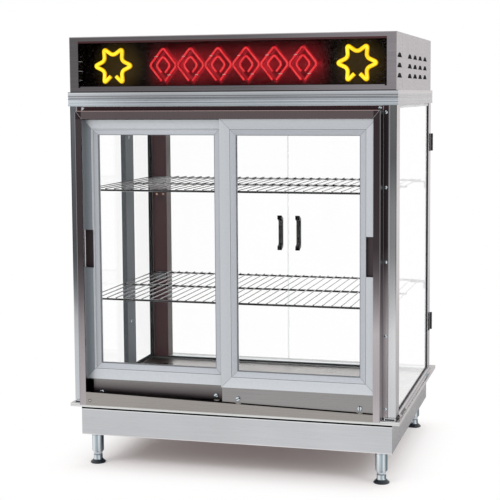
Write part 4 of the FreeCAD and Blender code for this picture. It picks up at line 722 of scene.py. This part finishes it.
def spun(profile, origin, steps=48, axis="Z"):
    # an outline of radius and height turned round its axis
    bpy.ops.object.select_all(action="DESELECT")
    start = Vector((profile[0][0], 0, profile[0][1]))
    bpy.ops.mesh.primitive_plane_add(size=0.001, location=(0, 0, 0))
    bpy.ops.object.mode_set(mode="EDIT")
    bpy.ops.mesh.select_mode(type="VERT")
    bpy.ops.mesh.merge(type="CENTER")
    bpy.ops.transform.translate(value=start)
    for first, second in zip(profile[:-1], profile[1:]):
        step = (second[0] - first[0], 0, second[1] - first[1])
        bpy.ops.mesh.extrude_region_move(TRANSFORM_OT_translate={"value": step})
    bpy.ops.mesh.select_all(action="SELECT")
    bpy.ops.mesh.spin(steps=steps, angle=2 * math.pi, center=(0, 0, 0), axis=(0, 0, 1))
    bpy.ops.mesh.select_all(action="SELECT")
    bpy.ops.mesh.remove_doubles(threshold=0.00001)
    bpy.ops.mesh.normals_make_consistent(inside=False)
    bpy.ops.object.mode_set(mode="OBJECT")
    piece = bpy.context.object
    if axis == "-Y":
        piece.rotation_euler = (math.radians(90), 0, 0)
    piece.location = origin
    return settle(piece)


# Sign tubes: nested diamonds between two bursts of rays, on the part's own lines

sign = dict(
    planeY=-0.292, centreZ=1.1045, redRadius=0.0038, yellowRadius=0.0056,
    diamonds=6, pitch=0.077, halfWidth=0.038, halfHeight=0.047, shrink=0.0221, diamondBend=0.008,
    burstX=0.336, outer=0.054, inner=0.028, rays=6, burstBend=0.009,
)


def diamondRoute(x, shrink):
    w = sign["halfWidth"] - shrink * sign["halfWidth"] / sign["halfHeight"]
    h = sign["halfHeight"] - shrink
    gap = sign["redRadius"] + 0.0015
    y, z = sign["planeY"], sign["centreZ"]
    return [Vector((x - gap, y, z - h + gap)), Vector((x - w, y, z)), Vector((x, y, z + h)),
            Vector((x + w, y, z)), Vector((x + gap, y, z - h + gap))]


def burstRoute(x):
    route = []
    for i in range(2 * sign["rays"] + 1):
        angle = math.pi * (i - 0.5 * sign["rays"]) / sign["rays"]
        r = sign["outer"] if i % 2 else sign["inner"]
        route.append(Vector((x + r * math.cos(angle), sign["planeY"], sign["centreZ"] + r * math.sin(angle))))
    gap = Vector((sign["yellowRadius"] + 0.002, 0, 0))
    route[0] += gap
    route[-1] -= gap
    return route


redTubes = []
for i in range(sign["diamonds"]):
    x = (i - (sign["diamonds"] - 1) / 2) * sign["pitch"]
    for shrink in (0, sign["shrink"]):
        redTubes.append(bentTube(diamondRoute(x, shrink), sign["redRadius"], sign["diamondBend"]))
dress(joined(redTubes), "diamondTubes", "neon_red_glass", "cabinet", "neon_red")
yellowTubes = [bentTube(burstRoute(s * sign["burstX"]), sign["yellowRadius"], sign["burstBend"]) for s in (-1, 1)]
dress(joined(yellowTubes), "burstTubes", "neon_yellow_glass", "cabinet", "neon_yellow")
print("sign tubes made")


# Wire shelves

shelf = dict(wireRadius=0.0015, crossRadius=0.003, pitch=0.0254, halfWidth=0.420)


def wireShelf(name, node):
    low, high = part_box(node)
    top = high.z - shelf["wireRadius"]
    crossZ = high.z - 2 * shelf["wireRadius"] - shelf["crossRadius"]
    count = int(2 * shelf["halfWidth"] / shelf["pitch"])
    first = bentTube([Vector((-count / 2 * shelf["pitch"], low.y, top)),
                      Vector((-count / 2 * shelf["pitch"], high.y, top))], shelf["wireRadius"], 0, 3)
    wires = [first] + [copyOf(first, (i * shelf["pitch"], 0, 0)) for i in range(1, count + 1)]
    r = shelf["crossRadius"]
    for y in (low.y + r, (low.y + high.y) / 2, high.y - r):
        wires.append(bentTube([Vector((-shelf["halfWidth"], y, crossZ)), Vector((shelf["halfWidth"], y, crossZ))],
                              r, 0, 4))
    dress(settle(joined(wires), 60), name, "shelf_chrome", "cabinet", node)


wireShelf("upperWireShelf", "upper_shelf")
wireShelf("middleWireShelf", "middle_shelf")
print("shelves made")


# Legs and levelling feet

leg = dict(radius=0.0165, neck=0.0125, pad=0.0215, padHeight=0.012, neckHeight=0.014, top=0.087, x=0.401,
           frontY=-0.289, rearY=0.312)
legPlaces = {"front_left": (-leg["x"], leg["frontY"]), "front_right": (leg["x"], leg["frontY"]),
             "rear_left": (-leg["x"], leg["rearY"]), "rear_right": (leg["x"], leg["rearY"])}
legLow = leg["padHeight"] + leg["neckHeight"]
legProfile = [(0, legLow), (leg["neck"] - 0.001, legLow), (leg["neck"], legLow + 0.001),
              (leg["neck"], legLow + 0.004), (leg["radius"] - 0.0015, legLow + 0.007),
              (leg["radius"], legLow + 0.010), (leg["radius"], leg["top"] - 0.008),
              (leg["radius"] - 0.0006, leg["top"] - 0.0075), (leg["radius"] - 0.0006, leg["top"] - 0.006),
              (leg["radius"], leg["top"] - 0.0055), (leg["radius"], leg["top"]), (0, leg["top"])]
footProfile = [(0, 0), (leg["pad"] - 0.001, 0), (leg["pad"], 0.001), (leg["pad"], 0.003),
               (leg["pad"] - 0.003, 0.006), (leg["neck"] + 0.002, 0.0095), (leg["neck"], 0.013),
               (leg["neck"], legLow - 0.0015), (leg["neck"] - 0.0015, legLow - 0.0002), (0, legLow - 0.0002)]
firstPlace = legPlaces["front_left"]
firstLeg = spun(legProfile, (*firstPlace, 0))
legs = [firstLeg]
for place in list(legPlaces.values())[1:]:
    legs.append(copyOf(firstLeg, (place[0] - firstPlace[0], place[1] - firstPlace[1], 0)))
dress(settle(joined(legs)), "legTubes", "leg_chrome", "cabinet", "leg_tubes")
for name, place in legPlaces.items():
    foot = spun(footProfile, (*place, 0))
    camel = name.split("_")[0] + name.split("_")[1].title() + "Foot"
    dress(foot, camel, "foot_plastic", name + "_leveller", name + "_foot")
print("legs and feet made")


# Domed screws with a slot

screw = dict(dome=0.36, slotWidth=0.28, slotDepth=0.6)


def islandMiddles(node):
    # the middle of each loose solid of a CAD node
    bpy.ops.object.select_all(action="DESELECT")
    whole = cadNode[node].copy()
    whole.data = cadNode[node].data.copy()
    scene.collection.objects.link(whole)
    choose(whole)
    bpy.ops.object.mode_set(mode="EDIT")
    bpy.ops.mesh.select_all(action="SELECT")
    bpy.ops.mesh.remove_doubles(threshold=0.00001)
    bpy.ops.mesh.separate(type="LOOSE")
    bpy.ops.object.mode_set(mode="OBJECT")
    middles = []
    for loose in list(bpy.context.selected_objects):
        corners = [vertex.co for vertex in loose.data.vertices]
        middles.append(sum(corners, Vector()) / len(corners))
        bpy.data.objects.remove(loose)
    return sorted(middles, key=lambda place: tuple(round(c, 4) for c in place))


def screwHead(place, radius, turn, axis="-Y"):
    # dome spun round its axis, then the slot cut across it
    height = radius * screw["dome"]
    profile = [(radius, 0), (radius, height * 0.35), (radius * 0.86, height * 0.75), (radius * 0.5, height * 0.96),
               (0, height)]
    head = spun(profile, (0, 0, 0), 20)
    bpy.ops.object.select_all(action="DESELECT")
    bpy.ops.mesh.primitive_cube_add(size=1, location=(0, 0, height), scale=(radius * 3, radius * screw["slotWidth"],
                                                                          height * screw["slotDepth"] * 2))
    cutter = bpy.context.object
    choose(head)
    cut = head.modifiers.new("slot", "BOOLEAN")
    cut.operation = "DIFFERENCE"
    cut.object = cutter
    bpy.ops.object.modifier_apply(modifier=cut.name)
    bpy.data.objects.remove(cutter)
    # faces inside the slot are marked for the dark slot finish, painted shade
    inSlot = head.data.attributes.new("inSlot", "INT", "FACE")
    for face, mark in zip(head.data.polygons, inSlot.data):
        mark.value = int(abs(face.center.y) < radius * screw["slotWidth"] * 0.51 and face.normal.z > -0.5
                         and abs(face.center.z - height) > 0.00001)
    toAxis = {"-Y": (math.radians(90), 0, 0), "X": (0, math.radians(90), 0), "-X": (0, math.radians(-90), 0),
              "Y": (math.radians(-90), 0, 0)}[axis]
    head.matrix_world = (Matrix.Translation(place) @ Euler(toAxis).to_matrix().to_4x4()
                         @ Matrix.Rotation(math.radians(turn), 4, "Z"))
    return settle(head, 30)


def screwRow(name, slot, body, places, radius, axis="-Y", standsFor=()):
    heads = [screwHead(place, radius, 25 + 67 * i, axis) for i, place in enumerate(places)]
    row = dress(joined(heads), name, slot, body, *standsFor)
    row.data.materials.append(finishes["screw_slot"])
    for face, mark in zip(row.data.polygons, row.data.attributes["inSlot"].data):
        face.material_index = mark.value
    return row


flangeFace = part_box("surround_screws")[1].y
screwRow("surroundScrews", "screw_steel", "cabinet",
         [(m.x, flangeFace, m.z) for m in islandMiddles("surround_screws")], 0.0044, "-Y", ("surround_screws",))
for side in ("right", "left"):
    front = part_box(side + "_door_skirt")[0].y
    places = []
    for end in ("inner", "outer"):
        low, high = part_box(side + "_door_roller_" + end)
        places.append(((low.x + high.x) / 2, front + 0.0002, (low.z + high.z) / 2))
    screwRow(side + "RollerScrews", "screw_steel", side + "_door", places, 0.0062)
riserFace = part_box("wire_riser")[0].y
riserScrews = screwRow("riserScrews", "screw_steel", "cabinet",
                       [(-0.4185, riserFace, 0.7115), (-0.3970, riserFace, 0.7115)], 0.0036)
riserScrews.data.materials[0] = finishes["screw_brass"]
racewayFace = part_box("wire_raceway")[1].x
screwRow("racewayScrews", "screw_steel", "cabinet", [(racewayFace, 0.044, z) for z in (0.343, 0.900)], 0.0056, "X")
plateLow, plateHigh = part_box("control_panel")
screwRow("plateScrews", "screw_steel", "cabinet",
         [(x, plateHigh.y, z) for x in (plateLow.x + 0.007, plateHigh.x - 0.007)
          for z in (plateLow.z + 0.007, plateHigh.z - 0.007)], 0.0034, "Y")
hinge = dict(screwRadius=0.0021, spread=0.018)
for side, toSide in (("right", 1), ("left", -1)):
    outward = "X" if toSide > 0 else "-X"
    blocks = islandMiddles("rear_post_hinges")
    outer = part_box("rear_post_hinges")[1].x - 0.0001
    mine = [m for m in blocks if m.x * toSide > 0]
    axisY = (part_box("rear_right_door")[0].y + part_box("rear_right_door")[1].y) / 2
    fixed = [(toSide * outer, axisY, m.z + s * hinge["spread"]) for m in mine for s in (-1, 1)]
    screwRow(side + "HingeScrews", "screw_steel", "cabinet", fixed, hinge["screwRadius"], outward)
    turning = [(toSide * outer, axisY, m.z) for m in mine]
    screwRow(side + "PanelScrews", "screw_steel", "rear_" + side + "_panel", turning, hinge["screwRadius"], outward)
print("screws made")


# Control knob with a cut pointer, and the doors' rollers

knob = dict(edge=0.0012, skirt=0.0022, grooveWidth=0.0014, grooveDepth=0.0008)
low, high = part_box("thermostat_knob")
knobRadius, knobDepth = (high.x - low.x) / 2, high.y - low.y
knobPlace = Vector(((low.x + high.x) / 2, low.y, (low.z + high.z) / 2))
knobBody = spun([(0, 0), (knobRadius - 0.0004, 0), (knobRadius, 0.0004), (knobRadius, knob["skirt"]),
                 (knobRadius - 0.0028, knob["skirt"] + 0.0016), (knobRadius - 0.0036, knobDepth - knob["edge"]),
                 (knobRadius - 0.0036 - knob["edge"], knobDepth), (0, knobDepth)], (0, 0, 0), 48)
bpy.ops.object.select_all(action="DESELECT")
bpy.ops.mesh.primitive_cube_add(size=1, location=(0, knobRadius / 2, knobDepth),
                                scale=(knob["grooveWidth"], knobRadius, knob["grooveDepth"] * 2))
cutter = bpy.context.object
choose(knobBody)
cut = knobBody.modifiers.new("pointer", "BOOLEAN")
cut.operation = "DIFFERENCE"
cut.object = cutter
bpy.ops.object.modifier_apply(modifier=cut.name)
bpy.data.objects.remove(cutter)
knobBody.matrix_world = Matrix.Translation(knobPlace) @ Matrix.Rotation(math.radians(-90), 4, "X") @ Matrix.Rotation(
    math.radians(180), 4, "Z")
settle(knobBody, 30)
dress(knobBody, "controlKnob", "black_plastic", "thermostat", "thermostat_knob")

roller = dict(bore=0.0042, groove=0.0016, lip=0.0012)
for side in ("right", "left"):
    for end in ("inner", "outer"):
        node = side + "_door_roller_" + end
        low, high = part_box(node)
        r, wide = (high.z - low.z) / 2, high.y - low.y
        mid = wide / 2
        wheel = spun([(roller["bore"], 0), (r - 0.0005, 0), (r, 0.0005), (r, roller["lip"]),
                      (r - roller["groove"], roller["lip"] + 0.0010), (r - roller["groove"], wide - roller["lip"] - 0.0010),
                      (r, wide - roller["lip"]), (r, wide - 0.0005), (r - 0.0005, wide), (roller["bore"], wide),
                      (roller["bore"], 0)], ((low.x + high.x) / 2, high.y, (low.z + high.z) / 2), 40, "-Y")
        dress(wheel, side + end.title() + "Roller", "roller_nylon", side + "_" + end + "_roller", node)
print("knob and rollers made")


# Folded clips at the feet of the front posts

clip = dict(width=0.029, height=0.0080, depth=0.0060, wall=0.0016)
postLow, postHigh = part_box("front_posts")
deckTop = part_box("deck")[1].z


def postClip(x):
    bpy.ops.object.select_all(action="DESELECT")
    bpy.ops.mesh.primitive_cube_add(size=1, location=(x, postLow.y - clip["depth"] / 2, deckTop + clip["height"] / 2),
                                    scale=(clip["width"], clip["depth"], clip["height"]))
    piece = bpy.context.object
    bpy.ops.object.transform_apply(location=True, rotation=True, scale=True)
    bpy.ops.object.mode_set(mode="EDIT")
    bpy.ops.mesh.select_all(action="DESELECT")
    bpy.ops.object.mode_set(mode="OBJECT")
    for face in piece.data.polygons:
        face.select = face.normal.y < -0.9
    bpy.ops.object.mode_set(mode="EDIT")
    bpy.ops.mesh.select_mode(type="FACE")
    bpy.ops.mesh.inset(thickness=clip["wall"])
    bpy.ops.mesh.extrude_region_move(TRANSFORM_OT_translate={"value": (0, clip["depth"] - clip["wall"], 0)})
    bpy.ops.object.mode_set(mode="OBJECT")
    edges = piece.modifiers.new("rounded edges", "BEVEL")
    edges.width = 0.0003
    edges.segments = 2
    choose(piece)
    bpy.ops.object.modifier_apply(modifier=edges.name)
    return settle(piece)


clips = joined([postClip(s * (postHigh.x - clip["width"] / 2 - 0.0005)) for s in (-1, 1)])
dress(clips, "postFootClips", "rail_aluminium", "cabinet")
clips.data.materials[0] = finishes["clip_chrome"]
print("post clips made")


# Wire clips that hold the red tubes to their glass posts

tubeClip = dict(wire=0.0007, gap=0.0012)


def tubeClipAt(x, z):
    r = sign["redRadius"] + tubeClip["gap"]
    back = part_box("sign_back_panel")[0].y - 0.0002
    front = sign["planeY"] - r
    return bentTube([Vector((x - r, back, z)), Vector((x - r, front, z)), Vector((x + r, front, z)),
                     Vector((x + r, back, z))], tubeClip["wire"], 0.002, 2)


clipPlaces = []
for i in range(sign["diamonds"]):
    x = (i - (sign["diamonds"] - 1) / 2) * sign["pitch"]
    clipPlaces += [(x - sign["halfWidth"] * 0.5, sign["centreZ"] + sign["halfHeight"] * 0.5),
                   (x + sign["halfWidth"] * 0.45, sign["centreZ"] - sign["halfHeight"] * 0.55)]
tubeClips = dress(joined([tubeClipAt(x, z) for x, z in clipPlaces]), "tubeClips", "support_glass", "cabinet")
tubeClips.data.materials[0] = finishes["clip_chrome"]
print("tube clips made")


# Studio: white backdrop from the world and the floor, soft lamps, camera where the photograph was taken

studio = dict(
    worldLevel=0.6, floorHalf=9.0, floorLift=(0.103, 0.077, 0.072, 1.0),
    halfX=0.42, halfY=0.33, fade=(-0.12, 0.14),
    lamps=[("keyLamp", (-2.6, -3.6, 3.2), 3.0, 95), ("sideLamp", (3.8, -1.6, 2.2), 2.5, 45),
           ("topLamp", (0.3, 0.6, 4.0), 3.0, 75)],
    aim=(0, 0, 0.6),
)
view = dict(place=(0.9550, -3.6035, 1.0236), lens=1292.9 / 500 * 36, yaw=15.346, tilt=5.083, roll=-0.382,
            shift=-0.08)


def showsBackdrop(tree):
    # true for the rays that look at the backdrop: straight, in a mirror or through glass
    rays = tree.nodes.new("ShaderNodeLightPath")
    seen = maths(tree, "MAXIMUM", rays.outputs["Is Camera Ray"], rays.outputs["Is Glossy Ray"])
    return maths(tree, "MAXIMUM", seen, rays.outputs["Is Transmission Ray"])


world = bpy.data.worlds.new("paleStudio")
scene.world = world
world.use_nodes = True
worldTree = world.node_tree
lighting = worldTree.nodes["Background"]
lighting.inputs["Color"].default_value = grey(1)
lighting.inputs["Strength"].default_value = studio["worldLevel"]
backdrop = worldTree.nodes.new("ShaderNodeBackground")
backdrop.inputs["Color"].default_value = grey(1)
backdrop.inputs["Strength"].default_value = 1.0
worldMix = worldTree.nodes.new("ShaderNodeMixShader")
worldTree.links.new(showsBackdrop(worldTree), worldMix.inputs["Fac"])
worldTree.links.new(lighting.outputs["Background"], worldMix.inputs[1])
worldTree.links.new(backdrop.outputs["Background"], worldMix.inputs[2])
worldTree.links.new(worldMix.outputs["Shader"], worldTree.nodes["World Output"].inputs["Surface"])

bpy.ops.object.select_all(action="DESELECT")
bpy.ops.mesh.primitive_plane_add(size=2 * studio["floorHalf"], location=(0, 0, 0))
floor = bpy.context.object
floor.name = "studioFloor"
floorMaterial, floorTree, floorShader = startFinish("studio floor", 0.9)
floorShader.inputs["Base Color"].default_value = paint(252, 250, 249)
floorShader.inputs["Specular IOR Level"].default_value = 0.1
glowFar = floorTree.nodes.new("ShaderNodeEmission")
glowFar.inputs["Color"].default_value = grey(1)
beside = maths(floorTree, "SUBTRACT", maths(floorTree, "ABSOLUTE", axisOf(floorTree, "Object", 0)), studio["halfX"])
before = maths(floorTree, "SUBTRACT", maths(floorTree, "ABSOLUTE", axisOf(floorTree, "Object", 1)), studio["halfY"])
far = between(floorTree, maths(floorTree, "MAXIMUM", beside, before), *studio["fade"], smooth=True)
lift = floorTree.nodes.new("ShaderNodeEmission")
lift.inputs["Color"].default_value = studio["floorLift"]
lifted = floorTree.nodes.new("ShaderNodeAddShader")
liftMix = floorTree.nodes.new("ShaderNodeMixShader")
floorTree.links.new(floorShader.outputs["BSDF"], lifted.inputs[0])
floorTree.links.new(lift.outputs["Emission"], lifted.inputs[1])
floorTree.links.new(showsBackdrop(floorTree), liftMix.inputs["Fac"])
floorTree.links.new(floorShader.outputs["BSDF"], liftMix.inputs[1])
floorTree.links.new(lifted.outputs["Shader"], liftMix.inputs[2])
floorMix = floorTree.nodes.new("ShaderNodeMixShader")
floorTree.links.new(maths(floorTree, "MULTIPLY", far, showsBackdrop(floorTree)), floorMix.inputs["Fac"])
floorTree.links.new(liftMix.outputs["Shader"], floorMix.inputs[1])
floorTree.links.new(glowFar.outputs["Emission"], floorMix.inputs[2])
floorTree.links.new(floorMix.outputs["Shader"], floorTree.nodes["Material Output"].inputs["Surface"])
floor.data.materials.append(floorMaterial)

for name, place, size, power in studio["lamps"]:
    bpy.ops.object.light_add(type="AREA", location=place)
    lamp = bpy.context.object
    lamp.name = name
    lamp.data.shape = "SQUARE"
    lamp.data.size = size
    lamp.data.energy = power
    toAim = Vector(studio["aim"]) - Vector(place)
    lamp.rotation_euler = toAim.to_track_quat("-Z", "Y").to_euler()
    lamp.visible_glossy = False
    lamp.visible_camera = False
    lamp.visible_transmission = False

bpy.ops.object.camera_add(location=view["place"])
camera = bpy.context.object
turn = Euler((math.radians(90 - view["tilt"]), 0, math.radians(view["yaw"]))).to_matrix()
camera.rotation_euler = (turn @ Matrix.Rotation(math.radians(view["roll"]), 3, "Z")).to_euler()
camera.data.sensor_width = 36
camera.data.lens = view["lens"]
camera.data.shift_y = view["shift"]
scene.camera = camera
scene.view_settings.view_transform = "Standard"
print("studio made")
